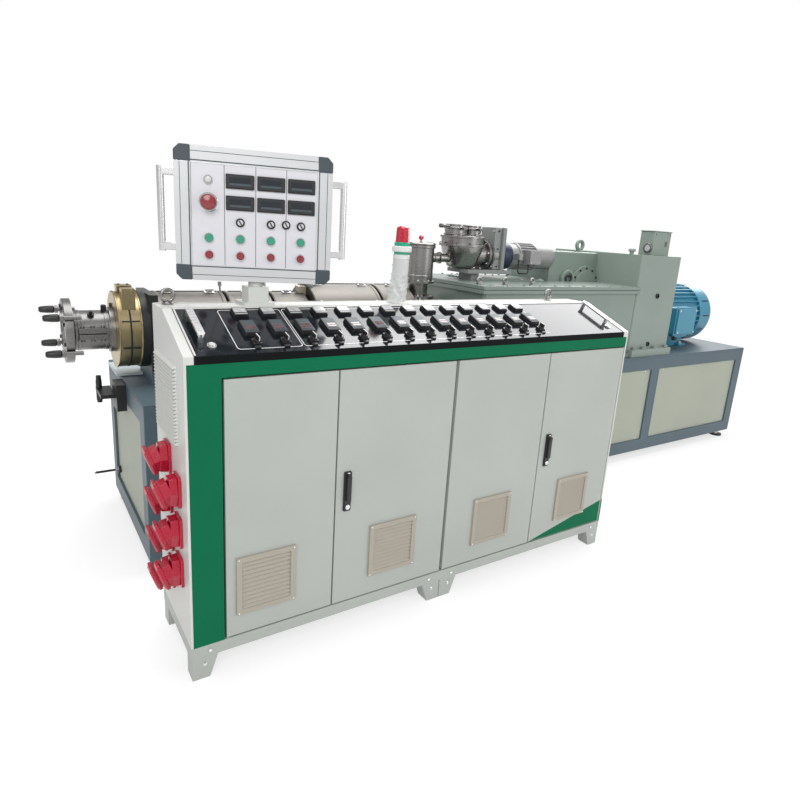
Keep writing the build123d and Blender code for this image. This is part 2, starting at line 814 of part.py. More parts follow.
with BuildPart() as gearbox_housing:
    with BuildSketch(Plane.XY.offset(deck_top)):
        with Locations(((gearbox_x1 + housing_x1) / 2, (gearbox_y0 + gearbox_y1) / 2)):
            Rectangle(housing_x1 - gearbox_x1, gearbox_y1 - gearbox_y0)
    extrude(amount=reducer_top + 10 - deck_top)
    fillet(edges().filter_by(Axis.Z), radius=12)
    with BuildSketch(Plane.XY.offset(deck_top)):
        with Locations(((gearbox_x1 + housing_x1) / 2, (gearbox_y0 + gearbox_y1) / 2)):
            Rectangle(housing_x1 - gearbox_x1, gearbox_y1 - gearbox_y0 + 70)
    extrude(amount=48)
export(gearbox_housing, "gearbox_housing")

oil_left = 3291
oil_right = 3478
oil_front = 830
oil_depth = 110
oil_height = 157
with BuildPart() as oil_unit:
    with BuildSketch(Plane.XY.offset(reducer_top + 10)):
        with Locations((cab_x0 + (oil_left + oil_right) / 2, cab_y0 + oil_front + oil_depth / 2)):
            Rectangle(oil_right - oil_left, oil_depth)
    extrude(amount=oil_height)
export(oil_unit, "oil_unit")

# Motor on its foot block, with a domed fan cover and a terminal box on the front
motor_x1 = cab_x0 + motor_end
motor_x0 = housing_x1
cowl_length = 170
flange_length = 30
fin_height = 22
fin_count = 36
fin_width = 6
foot_start = 120
foot_length = 380
foot_width = 360
box_station = 290
box_z = centre_height - 20
box_stand = 80
with BuildPart() as motor:
    with BuildSketch(Plane.YZ.offset(motor_x0)):
        with Locations((axis_y, centre_height)):
            Circle(motor_radius)
    extrude(amount=flange_length)
    with BuildSketch(Plane.YZ.offset(motor_x0 + flange_length)):
        with Locations((axis_y, centre_height)):
            Circle(motor_radius - fin_height)
            with PolarLocations(motor_radius - fin_height / 2 - 3, fin_count):
                Rectangle(fin_height + 6, fin_width)
    extrude(amount=motor_x1 - cowl_length - motor_x0 - flange_length)
    with BuildSketch(Plane.YZ.offset(motor_x0 + foot_start)):
        with Locations((axis_y, (deck_top + centre_height - 120) / 2)):
            Rectangle(foot_width, centre_height - 120 - deck_top)
    extrude(amount=foot_length)
    with BuildSketch(Plane.XZ.offset(-(axis_y - motor_radius))):
        with Locations((motor_x0 + box_station, box_z)):
            Rectangle(160, 130)
    extrude(amount=-70)
    with BuildSketch(Plane.XZ.offset(-(axis_y - motor_radius))):
        with Locations((motor_x0 + box_station, box_z)):
            RectangleRounded(240, 200, radius=10)
    extrude(amount=box_stand)
export(motor, "motor")

with BuildPart() as motor_cowl:
    with BuildSketch(Plane.YZ.offset(motor_x1 - cowl_length)):
        with Locations((axis_y, centre_height)):
            Circle(motor_radius)
    extrude(amount=cowl_length)
    fillet(edges().group_by(Axis.X)[-1], radius=40)
export(motor_cowl, "motor_cowl")

# Metering feeder on the gearbox: stand, bowl with two ports, drive plate and motor
feeder_x = cab_x0 + feeder_station
inlet_x = cab_x0 + hopper_cx
bed_thickness = 22
bed_top = feeder_bed + bed_thickness
bed_depth = 200
plate_start = feeder_x + 238
plate_depth = 25
plate_width = 165
with BuildPart() as feeder_stand:
    with BuildSketch(Plane.XY.offset(gearbox_split)):
        with Locations((feeder_x + 60, axis_y)):
            Rectangle(60, 120)
    extrude(amount=feeder_bed - gearbox_split)
    with BuildSketch(Plane.XY.offset(feeder_bed)):
        with Locations((feeder_x + 140, axis_y)):
            Rectangle(340, bed_depth)
    extrude(amount=bed_thickness)
export(feeder_stand, "feeder_stand")

feeder_axis = bed_top + 85
bowl_x = feeder_x - 10
bowl_top = 1468
bowl_profile = (
    (0, bed_top), (60, bed_top), (84, bed_top + 14), (118, bed_top + 95),
    (125, bed_top + 130), (125, bowl_top), (0, bowl_top),
)
outlet_x = bowl_x + 72
port_wall = 10
clamp_width = 12
clamp_height = 14
with BuildPart() as feeder_hopper:
    with BuildSketch(Plane(origin=(bowl_x, axis_y, 0), x_dir=(1, 0, 0), z_dir=(0, -1, 0))):
        with BuildLine():
            Polyline(*bowl_profile, close=True)
        make_face()
    revolve(axis=Axis((bowl_x, axis_y, 0), (0, 0, 1)), revolution_arc=360)
    with BuildSketch(Plane.YZ.offset(bowl_x)):
        with Locations((axis_y, feeder_axis)):
            Circle(70)
    extrude(amount=plate_start - bowl_x)
    with BuildSketch(Plane.YZ.offset(throat_x)):
        with Locations((axis_y, tube_z)):
            Circle(tube_radius)
    extrude(amount=bowl_x - throat_x)
    for port_x, port_bore in ((inlet_x, hopper_bore), (outlet_x, outlet_bore)):
        with BuildSketch(Plane.XY.offset(bowl_top)):
            with Locations((port_x, axis_y)):
                Circle(port_bore + port_wall)
        extrude(amount=hopper_top - bowl_top)
        with BuildSketch(Plane.XY.offset((hopper_top + bowl_top - clamp_height) / 2)):
            with Locations((port_x, axis_y)):
                Circle(port_bore + clamp_width)
        extrude(amount=clamp_height)
    with BuildSketch(Plane.XY.offset(hopper_top)):
        with Locations((inlet_x, axis_y)):
            Circle(hopper_bore)
    extrude(amount=-hopper_depth, mode=Mode.SUBTRACT)
    with BuildSketch(Plane.XY.offset(throat_bottom)):
        with Locations((throat_x, axis_y)):
            Circle(throat_radius + seat_gap)
    extrude(amount=throat_top - throat_bottom, mode=Mode.SUBTRACT)
export(feeder_hopper, "feeder_hopper")

with BuildPart() as feeder_drive:
    with BuildSketch(Plane.YZ.offset(plate_start)):
        with Locations((axis_y, (bed_top + hopper_top) / 2)):
            Rectangle(plate_width, hopper_top - bed_top)
    extrude(amount=plate_depth)
export(feeder_drive, "feeder_drive")

# Feeder motor with its terminal box and the plug box that the cable loops to
feeder_motor_radius = 76
feeder_motor_length = 454
feeder_box_x = feeder_x + 485
cable_exit_x = feeder_x + 450
feeder_box_bottom = feeder_axis - 43
plug_x = feeder_x + 362
plug_bottom = feeder_axis - 18
cable_y = axis_y - feeder_motor_radius - 29
with BuildPart() as feeder_motor:
    with BuildSketch(Plane.YZ.offset(plate_start + plate_depth)):
        with Locations((axis_y, feeder_axis)):
            Circle(feeder_motor_radius)
    extrude(amount=feeder_motor_length)
    fillet(edges().group_by(Axis.X)[-1], radius=20)
    for box_x, box_width, box_bottom in ((feeder_box_x, 100, feeder_box_bottom),
                                         (plug_x, 30, plug_bottom)):
        with BuildSketch(Plane.XZ.offset(-(axis_y - feeder_motor_radius / 2))):
            with Locations((box_x, feeder_axis)):
                Rectangle(box_width, 2 * (feeder_axis - box_bottom))
        extrude(amount=feeder_motor_radius / 2 + 44)
export(feeder_motor, "feeder_motor")

cable_radius = 4
cable_bend = 26
cable_low = feeder_box_bottom - 58
cable_points = (
    (cable_exit_x, cable_y, feeder_box_bottom), (cable_exit_x, cable_y, cable_low),
    (plug_x, cable_y, cable_low), (plug_x, cable_y, plug_bottom),
)
with BuildPart() as feeder_cable:
    with BuildLine() as cable_line:
        FilletPolyline(*cable_points, radius=cable_bend)
    with BuildSketch(Plane(origin=cable_points[0], z_dir=(0, 0, -1))):
        Circle(cable_radius)
    sweep(path=cable_line.line)
export(feeder_cable, "feeder_cable")
print("feeder cable bend radius", cable_bend, "mm")

# Left end of the machine frame: bracket with a lever, and a pull rod near the floor
end_y = cab_y0 + 1080
bracket_size = (40, 120, 120)
lever_x = base_x0 - 88
lever_y = end_y + 170
lever_top = 745
lever_length = 125
lever_radius = 11
rod_y = cab_y0 + 1450
rod_z = 195
rod_reach = 110
rod_radius = 6
with BuildPart() as end_fittings:
    with BuildSketch(Plane.YZ.offset(base_x0)):
        with Locations((end_y + bracket_size[1] / 2, base_top - bracket_size[2] / 2)):
            Rectangle(bracket_size[1], bracket_size[2])
    extrude(amount=-bracket_size[0])
    with BuildSketch(Plane.YZ.offset(base_x0 - bracket_size[0])):
        with Locations(((end_y + lever_y + 60) / 2, lever_top - 6 * lever_radius)):
            Rectangle(lever_y - end_y, 1.5 * lever_radius)
    extrude(amount=-(base_x0 - bracket_size[0] - lever_x + lever_radius))
    with BuildSketch(Plane.XY.offset(lever_top)):
        with Locations((lever_x, lever_y)):
            Circle(lever_radius)
    extrude(amount=-lever_length)
    with BuildSketch(Plane.YZ.offset(base_x0 + panel_recess)):
        with Locations((rod_y, rod_z)):
            Circle(rod_radius)
    extrude(amount=-panel_recess - rod_reach)
    with BuildSketch(Plane.YZ.offset(base_x0 + panel_recess)):
        with Locations((rod_y, rod_z)):
            Circle(3 * rod_radius)
    extrude(amount=-2 * rod_radius)
export(end_fittings, "end_fittings")

# Covered cable duct from the cabinet's plinth to the machine frame
duct_x = cab_x0 + 1500
duct_width = 220
duct_lid = 4
with BuildPart() as cable_duct:
    with BuildSketch(Plane.XZ.offset(-cab_y1)):
        with Locations((duct_x, (leg_height + plinth_top - duct_lid) / 2)):
            Rectangle(duct_width, plinth_height - duct_lid)
    extrude(amount=-(base_y0 - cab_y1))
    with BuildSketch(Plane.XZ.offset(-cab_y1)):
        with Locations((duct_x, plinth_top - duct_lid / 2)):
            Rectangle(duct_width + 3 * duct_lid, duct_lid)
    extrude(amount=-(base_y0 - cab_y1))
export(cable_duct, "cable_duct")
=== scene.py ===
import math

import bmesh
import bpy
from mathutils import Matrix, Vector, noise


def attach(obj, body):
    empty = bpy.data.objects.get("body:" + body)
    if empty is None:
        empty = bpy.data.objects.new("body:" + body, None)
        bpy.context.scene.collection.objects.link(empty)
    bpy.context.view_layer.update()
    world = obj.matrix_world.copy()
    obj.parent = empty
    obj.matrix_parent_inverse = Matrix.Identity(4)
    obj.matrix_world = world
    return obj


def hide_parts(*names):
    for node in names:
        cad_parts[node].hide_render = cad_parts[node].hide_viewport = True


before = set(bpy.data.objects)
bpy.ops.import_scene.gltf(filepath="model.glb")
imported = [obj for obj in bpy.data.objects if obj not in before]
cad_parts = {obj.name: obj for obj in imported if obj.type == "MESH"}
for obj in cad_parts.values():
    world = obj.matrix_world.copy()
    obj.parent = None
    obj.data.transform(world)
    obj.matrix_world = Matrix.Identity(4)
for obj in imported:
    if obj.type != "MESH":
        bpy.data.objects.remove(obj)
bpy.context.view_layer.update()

MM = 0.001
X, Y, Z = Vector((1, 0, 0)), Vector((0, 1, 0)), Vector((0, 0, 1))
# The cabinet's front lower left corner on the floor, in the frame's metres
CORNER = Vector((-2.112, -0.7765, 0.0))

# Main sizes and places in millimetres, measured from that corner
CABINET_WIDTH, CABINET_MIDDLE = 2000, 1000
LEAF_CENTRES = (250, 750, 1250, 1750)
CONSOLE_FOOT = 1085
SLOPE = math.atan2(103, 250)
SLOPE_LENGTH = math.hypot(250, 103)
RIDGE_TOP = 1188
CONTROLLERS, CONTROLLER_FIRST, CONTROLLER_PITCH = 14, 232, 95
METER_ROW, CONTROLLER_ROW = SLOPE_LENGTH - 45, SLOPE_LENGTH - 142
SWITCH_ROW, BUTTON_ROW = 52, 28
BEACON_X, BEACON_Y = 925, 320
OPERATOR_CENTRE = (332, 337, 1480)
OPERATOR_TURN = math.radians(-18)
GROOVE_X, GROOVE_Y = 237, 194.5
OPERATOR_FACE, OPERATOR_RAIL = 38, 40
COLUMNS = (-150, -50, 50, 150)
DISPLAY_ROWS = (110, 42)
SOCKETS = ((105, 640), (105, 500), (105, 360), (225, 710), (225, 570), (225, 430), (225, 290))
BASE_LEFT, BASE_LENGTH, BASE_POST = 12, 4500, 90
PANEL_FRONT, PANEL_BACK = 713, 1569
FOOT_FRONT, FOOT_BACK = 761, 1521
DECK_TOP = 743
AXIS_Y, AXIS_Z = 1141, 975
THROAT_X, BOWL_X = 1587, 1890
LIDS = ((1832, 64), (1962, 50))
FEEDER_Z = 1363
CASE_TOP = 1214
COVER_X, COVER_Z = 2975, 1180
MOTOR_BOX_X, MOTOR_BOX_Z = 3825, 955
MOTOR_FEET = (3605, 4005)


def new_object(name, data):
    item = bpy.data.objects.new(name, data)
    bpy.context.scene.collection.objects.link(item)
    return item


# Paints, plastics and metals
def noise_node(nodes, links, source, scale, detail):
    node = nodes.new("ShaderNodeTexNoise")
    node.inputs["Scale"].default_value = scale
    node.inputs["Detail"].default_value = detail
    links.new(source, node.inputs["Vector"])
    return node


def surface(name, colour, rough=0.5, metal=0.0, bump=0.0, scale=250.0, spread=0.06, coat=0.0,
        stretch=(1, 1, 1), rough_spread=0.05, dirt=0.0, specular=0.5):
    """Surface whose colour and roughness wander a little."""
    material = bpy.data.materials.new(name)
    material.use_nodes = True
    nodes, links = material.node_tree.nodes, material.node_tree.links
    shader = nodes["Principled BSDF"]
    shader.inputs["Metallic"].default_value = metal
    shader.inputs["Roughness"].default_value = rough
    shader.inputs["Coat Weight"].default_value = coat
    shader.inputs["Coat Roughness"].default_value = 0.1
    shader.inputs["Specular IOR Level"].default_value = specular
    coords = nodes.new("ShaderNodeTexCoord")
    mapping = nodes.new("ShaderNodeMapping")
    mapping.inputs["Scale"].default_value = stretch
    links.new(coords.outputs["Object"], mapping.inputs["Vector"])
    fine = noise_node(nodes, links, mapping.outputs["Vector"], scale, 5)
    broad = noise_node(nodes, links, coords.outputs["Object"], 2.7, 6)
    mean = nodes.new("ShaderNodeMath")
    mean.operation = "MULTIPLY_ADD"
    mean.inputs[1].default_value = 0.5
    links.new(fine.outputs["Fac"], mean.inputs[0])
    half = nodes.new("ShaderNodeMath")
    half.operation = "MULTIPLY"
    half.inputs[1].default_value = 0.5
    links.new(broad.outputs["Fac"], half.inputs[0])
    links.new(half.outputs[0], mean.inputs[2])
    ramp = nodes.new("ShaderNodeValToRGB")
    ends = ramp.color_ramp.elements
    ends[0].position, ends[1].position = 0.36, 0.64
    ends[0].color = [max(0, c * (1 - spread - dirt)) for c in colour] + [1]
    ends[1].color = [min(1, c * (1 + spread)) for c in colour] + [1]
    links.new(mean.outputs[0], ramp.inputs["Fac"])
    links.new(ramp.outputs["Color"], shader.inputs["Base Color"])
    if rough_spread:
        wander = nodes.new("ShaderNodeMapRange")
        wander.inputs["To Min"].default_value = max(0.03, rough - rough_spread)
        wander.inputs["To Max"].default_value = min(1, rough + rough_spread)
        links.new(fine.outputs["Fac"], wander.inputs["Value"])
        links.new(wander.outputs["Result"], shader.inputs["Roughness"])
    if bump:
        grain = nodes.new("ShaderNodeBump")
        grain.inputs["Strength"].default_value = bump
        grain.inputs["Distance"].default_value = 0.0006
        links.new(fine.outputs["Fac"], grain.inputs["Height"])
        links.new(grain.outputs["Normal"], shader.inputs["Normal"])
    return material


SURFACES = {
    "cabinet": surface("cabinet_paint", (0.44, 0.465, 0.435), 0.42, bump=0.25, scale=900, spread=0.05),
    "cream": surface("cream_paint", (0.66, 0.67, 0.64), 0.4, bump=0.25, scale=900, spread=0.04),
    "green": surface("green_paint", (0.0, 0.145, 0.063), 0.6, bump=0.1, scale=700, spread=0.08,
                     specular=0.15),
    "frame": surface("frame_paint", (0.075, 0.115, 0.14), 0.45, bump=0.2, scale=300, spread=0.1),
    "panel": surface("panel_paint", (0.39, 0.42, 0.345), 0.5, bump=0.2, scale=300, spread=0.05),
    "gear": surface("gear_paint", (0.20, 0.255, 0.222), 0.42, bump=0.3, scale=260, spread=0.07, coat=0.5),
    "gear_light": surface("gear_paint_light", (0.25, 0.305, 0.27), 0.42, bump=0.3, scale=260),
    "blue": surface("motor_blue", (0.05, 0.25, 0.37), 0.35, bump=0.25, scale=200, spread=0.08, coat=0.15),
    "navy": surface("navy_paint", (0.012, 0.022, 0.055), 0.35, spread=0.15),
    "red": surface("red_plastic", (0.47, 0.008, 0.035), 0.28, coat=0.25),
    "vent": surface("vent_plastic", (0.41, 0.375, 0.315), 0.55, bump=0.1, scale=600, spread=0.04),
    "face": surface("face_paint", (0.70, 0.70, 0.74), 0.38, bump=0.08, scale=700, spread=0.03),
    "rail": surface("rail_aluminium", (0.62, 0.63, 0.64), 0.38, metal=0.35, stretch=(1, 1, 60), scale=30,
                spread=0.05),
    "slate": surface("slate_plastic", (0.05, 0.068, 0.08), 0.5, spread=0.1),
    "gloss": surface("black_gloss", (0.008, 0.011, 0.015), 0.1, spread=0.1, rough_spread=0.01, specular=0.4),
    "black": surface("black_plastic", (0.016, 0.016, 0.018), 0.4, bump=0.1, scale=700, spread=0.15),
    "steel": surface("machined_steel", (0.235, 0.23, 0.225), 0.34, metal=1.0, bump=0.1, scale=55,
                 stretch=(9, 1, 1), spread=0.12),
    "cast": surface("cast_steel", (0.19, 0.185, 0.18), 0.42, metal=0.9, bump=0.4, scale=160, spread=0.2,
                dirt=0.1),
    "dark": surface("blackened_steel", (0.035, 0.035, 0.037), 0.38, metal=0.6, bump=0.2, scale=200,
                    spread=0.25),
    "cover": surface("stainless_cover", (0.15, 0.14, 0.127), 0.44, metal=0.95, bump=0.12, scale=40,
                 stretch=(1, 14, 14), spread=0.12, dirt=0.08),
    "inox": surface("stainless", (0.30, 0.29, 0.28), 0.27, metal=1.0, bump=0.1, scale=60,
                stretch=(1, 1, 12), spread=0.1),
    "brass": surface("zinc_brass", (0.46, 0.37, 0.21), 0.3, metal=1.0, bump=0.1, scale=40,
                 stretch=(12, 1, 1), spread=0.18, dirt=0.1),
    "alu": surface("satin_aluminium", (0.74, 0.74, 0.74), 0.28, metal=0.9, stretch=(1, 1, 30), scale=30,
               spread=0.05),
    "chrome": surface("chrome", (0.75, 0.75, 0.76), 0.12, metal=1.0, spread=0.04, rough_spread=0.02),
    "grey": surface("motor_grey", (0.30, 0.30, 0.30), 0.45, metal=0.5, bump=0.3, scale=220, spread=0.1),
    "white": surface("white_plastic", (0.78, 0.78, 0.77), 0.35, spread=0.02),
    "glassy": surface("meter_face", (0.52, 0.53, 0.53), 0.12, spread=0.03, coat=0.6),
    "display": surface("display_dark", (0.010, 0.014, 0.022), 0.08, spread=0.1, coat=0.8),
    "red_display": surface("display_red", (0.10, 0.012, 0.012), 0.1, spread=0.1, coat=0.8),
    "green_button": surface("button_green", (0.03, 0.32, 0.20), 0.25, spread=0.05, coat=0.5),
    "red_button": surface("button_red", (0.27, 0.025, 0.035), 0.25, spread=0.05, coat=0.5),
    "lamp": surface("lamp_clear", (0.65, 0.65, 0.66), 0.2, spread=0.03, coat=0.6),
    "red_lens": surface("lens_red", (0.55, 0.015, 0.04), 0.2, coat=0.6),
    "green_lens": surface("lens_green", (0.0, 0.38, 0.22), 0.25, coat=0.5),
    "lip": surface("black_edge", (0.004, 0.005, 0.006), 0.6, spread=0.1, specular=0.1),
    # Drip tray sheet: its pale bluish brightness is a painted reflection of shiny steel
    "painted_reflection_sheet": surface("bluish_sheet_painted_reflection", (0.64, 0.74, 0.76), 0.4, spread=0.05),
    "plate": surface("grey_plate", (0.235, 0.25, 0.245), 0.45, bump=0.15, scale=240),
    "terminal": surface("terminal_cream", (0.55, 0.49, 0.38), 0.5, spread=0.08),
}


def film_material():
    """Clear wrapping film, half seen through."""
    material = bpy.data.materials.new("clear_film")
    material.use_nodes = True
    nodes, links = material.node_tree.nodes, material.node_tree.links
    shader = nodes["Principled BSDF"]
    shader.inputs["Base Color"].default_value = (0.78, 0.80, 0.79, 1)
    shader.inputs["Roughness"].default_value = 0.16
    shader.inputs["Coat Weight"].default_value = 0.6
    shader.inputs["Alpha"].default_value = 0.62
    coords = nodes.new("ShaderNodeTexCoord")
    creases = noise_node(nodes, links, coords.outputs["Object"], 60, 4)
    grain = nodes.new("ShaderNodeBump")
    grain.inputs["Strength"].default_value = 0.8
    grain.inputs["Distance"].default_value = 0.003
    links.new(creases.outputs["Fac"], grain.inputs["Height"])
    links.new(grain.outputs["Normal"], shader.inputs["Normal"])
    return material


SURFACES["film"] = film_material()


# Placements: a piece's own x and y lie in a face of the machine, and its z points out of it
def place(x, y, z):
    return CORNER + Vector((x, y, z)) * MM


def basis(origin, x, y, z):
    matrix = Matrix.Identity(4)
    for column, axis in enumerate((Vector(x), Vector(y), Vector(z))):
        for row in range(3):
            matrix[row][column] = axis[row]
    matrix.translation = origin
    return matrix


def front(x, y, z):
    return basis(place(x, y, z), X, Z, -Y)


def left(x, y, z):
    return basis(place(x, y, z), -Y, Z, -X)


def right(x, y, z):
    return basis(place(x, y, z), Y, Z, X)


def rear(x, y, z):
    return basis(place(x, y, z), -X, Z, Y)


def top(x, y, z):
    return basis(place(x, y, z), X, Y, Z)


def slope(x, distance):
    """On the console's sloped panel, at a distance up from its foot."""
    up = Vector((0, math.cos(SLOPE), math.sin(SLOPE)))
    out = Vector((0, -math.sin(SLOPE), math.cos(SLOPE)))
    return basis(place(x, 0, CONSOLE_FOOT) + up * distance * MM, X, up, out)


def panel(x, y, height=OPERATOR_FACE):
    """On the operator box's face, from its centre."""
    across = Vector((math.cos(OPERATOR_TURN), math.sin(OPERATOR_TURN), 0))
    out = Vector((math.sin(OPERATOR_TURN), -math.cos(OPERATOR_TURN), 0))
    return basis(place(*OPERATOR_CENTRE) + across * x * MM + Z * y * MM + out * height * MM, across, Z, out)


def turned(at, angle, axis="Z"):
    return at @ Matrix.Rotation(math.radians(angle), 4, axis)


# Outlines in millimetres
def rounded(width, height, radius, seg=4):
    points = []
    for x, y, start in ((width / 2 - radius, height / 2 - radius, 0),
                        (-width / 2 + radius, height / 2 - radius, 90),
                        (-width / 2 + radius, -height / 2 + radius, 180),
                        (width / 2 - radius, -height / 2 + radius, 270)):
        for i in range(seg + 1):
            turn = math.radians(start + 90 * i / seg)
            points.append((x + radius * math.cos(turn), y + radius * math.sin(turn)))
    return points


def circle(radius, seg=32):
    turns = [2 * math.pi * i / seg for i in range(seg)]
    return [(radius * math.cos(turn), radius * math.sin(turn)) for turn in turns]


def six_sided(width, height):
    return [(x * width / 2, y * height / 2)
            for x, y in ((1, 0), (0.6, 1), (-0.6, 1), (-1, 0), (-0.6, -1), (0.6, -1))]


def add_bevel(item, width):
    bevel = item.modifiers.new("bevel", "BEVEL")
    bevel.width = width * MM
    bevel.segments = 2
    bevel.limit_method = "ANGLE"
    bevel.angle_limit = math.radians(40)
    bevel.harden_normals = False


class Piece:
    """Collects simple solids in one mesh; sizes are in millimetres."""

    def __init__(self):
        self.bm = bmesh.new()

    def loop(self, at, points, high):
        return [self.bm.verts.new(at @ Vector((x * MM, y * MM, high * MM))) for x, y in points]

    def skin(self, first, second):
        count = len(first)
        for i in range(count):
            self.bm.faces.new((first[i], first[(i + 1) % count], second[(i + 1) % count], second[i]))

    def prism(self, at, points, high, end_points=None, low=0.0):
        first = self.loop(at, points, low)
        second = self.loop(at, end_points or points, high)
        self.bm.faces.new(list(reversed(first)))
        self.bm.faces.new(second)
        self.skin(first, second)
        return self

    def box(self, at, width, depth, high, low=0.0, x=0.0, y=0.0):
        return self.prism(at, [(x + side * width / 2, y + end * depth / 2)
                              for side, end in ((-1, -1), (1, -1), (1, 1), (-1, 1))], high, None, low)

    def plate(self, at, width, depth, high, radius, low=0.0):
        return self.prism(at, rounded(width, depth, radius), high, None, low)

    def rod(self, at, radius, high, end_radius=None, seg=32, low=0.0):
        end_radius = radius if end_radius is None else end_radius
        return self.prism(at, circle(radius, seg), high, circle(end_radius, seg), low)

    def hexagon(self, at, radius, high, low=0.0):
        return self.rod(at, radius, high, seg=6, low=low)

    def bolt(self, at, radius, high):
        """Hexagon head on its washer."""
        self.rod(at, radius * 1.35, radius * 0.3, seg=20)
        return self.hexagon(at, radius, high + radius * 0.3, low=radius * 0.3)

    def cap(self, at, radius, high):
        """Socket-head screw with its recess."""
        profile = [(0, high * 0.45), (radius * 0.5, high * 0.45), (radius * 0.5, high),
                   (radius * 0.88, high), (radius, high * 0.9), (radius, 0)]
        return self.lathe(at, profile, 20)

    def lathe(self, at, profile, seg=48, closed=False):
        rings = []
        for radius, high in profile:
            if radius <= 1e-6:
                rings.append([self.bm.verts.new(at @ Vector((0, 0, high * MM)))])
            else:
                rings.append(self.loop(at, circle(radius, seg), high))
        pairs = list(zip(rings, rings[1:]))
        if closed:
            pairs.append((rings[-1], rings[0]))
        for first, second in pairs:
            if len(first) == 1 and len(second) == 1:
                continue
            for i in range(seg):
                after = (i + 1) % seg
                if len(first) == 1:
                    self.bm.faces.new((first[0], second[after], second[i]))
                elif len(second) == 1:
                    self.bm.faces.new((first[i], first[after], second[0]))
                else:
                    self.bm.faces.new((first[i], first[after], second[after], second[i]))
        return self

    def torus(self, at, big, small, seg=36, sides=12):
        turns = [2 * math.pi * i / sides for i in range(sides)]
        profile = [(big + small * math.cos(turn), small * math.sin(turn)) for turn in turns]
        return self.lathe(at, profile, seg, closed=True)

    def wire(self, points, radius, sides=12):
        """A round wire through points given in the frame's metres."""
        lean = Vector((0.13, 0.31, 0.94)).normalized()
        last = len(points) - 1
        rings = []
        for i, point in enumerate(points):
            way = (points[min(i + 1, last)] - points[max(i - 1, 0)]).normalized()
            side = way.cross(lean).normalized()
            other = way.cross(side)
            turns = [2 * math.pi * k / sides for k in range(sides)]
            rings.append([self.bm.verts.new(point + (side * math.cos(t) + other * math.sin(t)) * radius * MM)
                          for t in turns])
        self.bm.faces.new(list(reversed(rings[0])))
        self.bm.faces.new(rings[-1])
        for first, second in zip(rings, rings[1:]):
            self.skin(first, second)
        return self

    def done(self, name, material, body="root", bevel=0.8, replaces=(), sharp=32):
        """Turns the solids into one piece of the scene, which rides on a body."""
        bmesh.ops.recalc_face_normals(self.bm, faces=self.bm.faces)
        for face in self.bm.faces:
            face.smooth = True
        for edge in self.bm.edges:
            if len(edge.link_faces) == 2 and edge.calc_face_angle(0) > math.radians(sharp):
                edge.smooth = False
        mesh = bpy.data.meshes.new(name)
        self.bm.to_mesh(mesh)
        self.bm.free()
        item = new_object(name, mesh)
        mesh.materials.append(SURFACES[material])
        if bevel:
            add_bevel(item, bevel)
        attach(item, body)
        if replaces:
            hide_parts(*replaces)
        return item


# The frame's own solids
def dress(names, material, bevel=0.0):
    """Gives solids their surface and, where they show an edge, a small round."""
    for name in names.split():
        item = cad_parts[name]
        item.data.materials.clear()
        item.data.materials.append(SURFACES[material])
        for polygon in item.data.polygons:
            polygon.material_index = 0
        if bevel:
            weld = item.modifiers.new("weld", "WELD")
            weld.merge_threshold = 0.00002
            add_bevel(item, bevel)
            normals = item.modifiers.new("normals", "WEIGHTED_NORMAL")
            normals.keep_sharp = True


dress("cabinet_floor cabinet_legs cabinet_back door_1 door_2 door_3 door_4", "cabinet", 1.2)
dress("cabinet_ends console_ridge operator_post", "cream", 2.0)
dress("green_band", "green", 0.8)
dress("console_panel", "gloss", 1.0)
dress("vent_1 vent_2 vent_3 vent_4", "vent")
dress("base_frame base_deck cable_duct barrel_supports", "frame", 2.5)
dress("base_panels", "panel")
dress("levelling_feet end_fittings barrel_flange", "dark", 1.0)
dress("gearbox_lower gearbox_upper", "gear", 4.0)
dress("gearbox_housing oil_unit", "gear_light", 4.0)
dress("motor motor_cowl", "blue")
dress("die_adapter barrel", "steel", 1.5)
dress("heater_band", "brass", 1.5)
dress("barrel_covers", "cover", 2.0)
dress("feed_throat feeder_hopper", "inox", 1.5)
dress("feeder_stand feeder_drive", "plate", 2.0)
dress("feeder_motor", "grey")
dress("panel_handles operator_handles", "alu", 1.5)
dress("operator_box", "face", 1.0)
dress("operator_frame", "rail", 2.5)
dress("operator_corners", "slate", 2.5)
dress("end_sockets", "red", 2.0)
dress("swing_bolts lifting_eyes door_2_handle door_4_handle panel_instruments operator_instruments "
      "beacon feeder_cable", "black")

# Cabinet front: swing handles of the second and fourth leaf, with lever and lock
for i, start_x in ((2, 545), (4, 1548)):
    body = f"door_{i}_leaf"
    at = front(start_x, 0, 570)
    piece = Piece().plate(at, 30, 150, 6, 6).plate(at, 25, 142, 9, 5)
    piece.done(f"handle_{i}_bezel", "black", body, 1.0, (f"door_{i}_handle",))
    piece = Piece().plate(front(start_x, 0, 582), 17, 92, 20, 4, 9)
    piece.rod(front(start_x, 0, 628), 8, 22, seg=24, low=8)
    piece.done(f"handle_{i}_lever", "black", body, 1.6)
    piece = Piece()
    at = front(start_x, 0, 512)
    piece.rod(at, 9, 12, seg=28, low=6).rod(at, 6, 14, seg=24, low=6)
    piece.box(at, 1.6, 7, 14.6, 14)
    piece.box(front(start_x, 0, 640), 9, 5, 10.2, 9)
    piece.done(f"handle_{i}_lock", "chrome", body, 0.4)

# Green wedge across the fourth leaf and the end post beside it
wedge = [(1505, 129), (1983, 129), (1983, 238)]
Piece().prism(front(0, 0, 0), wedge, 0.5).done("corner_wedge", "green", "door_4_leaf", 0)
wedge = [(1992.3, 122), (CABINET_WIDTH, 122), (CABINET_WIDTH, 242), (1992.3, 240)]
Piece().prism(front(0, 0, 0), wedge, 0.5).done("corner_wedge_end", "green", "root", 0)

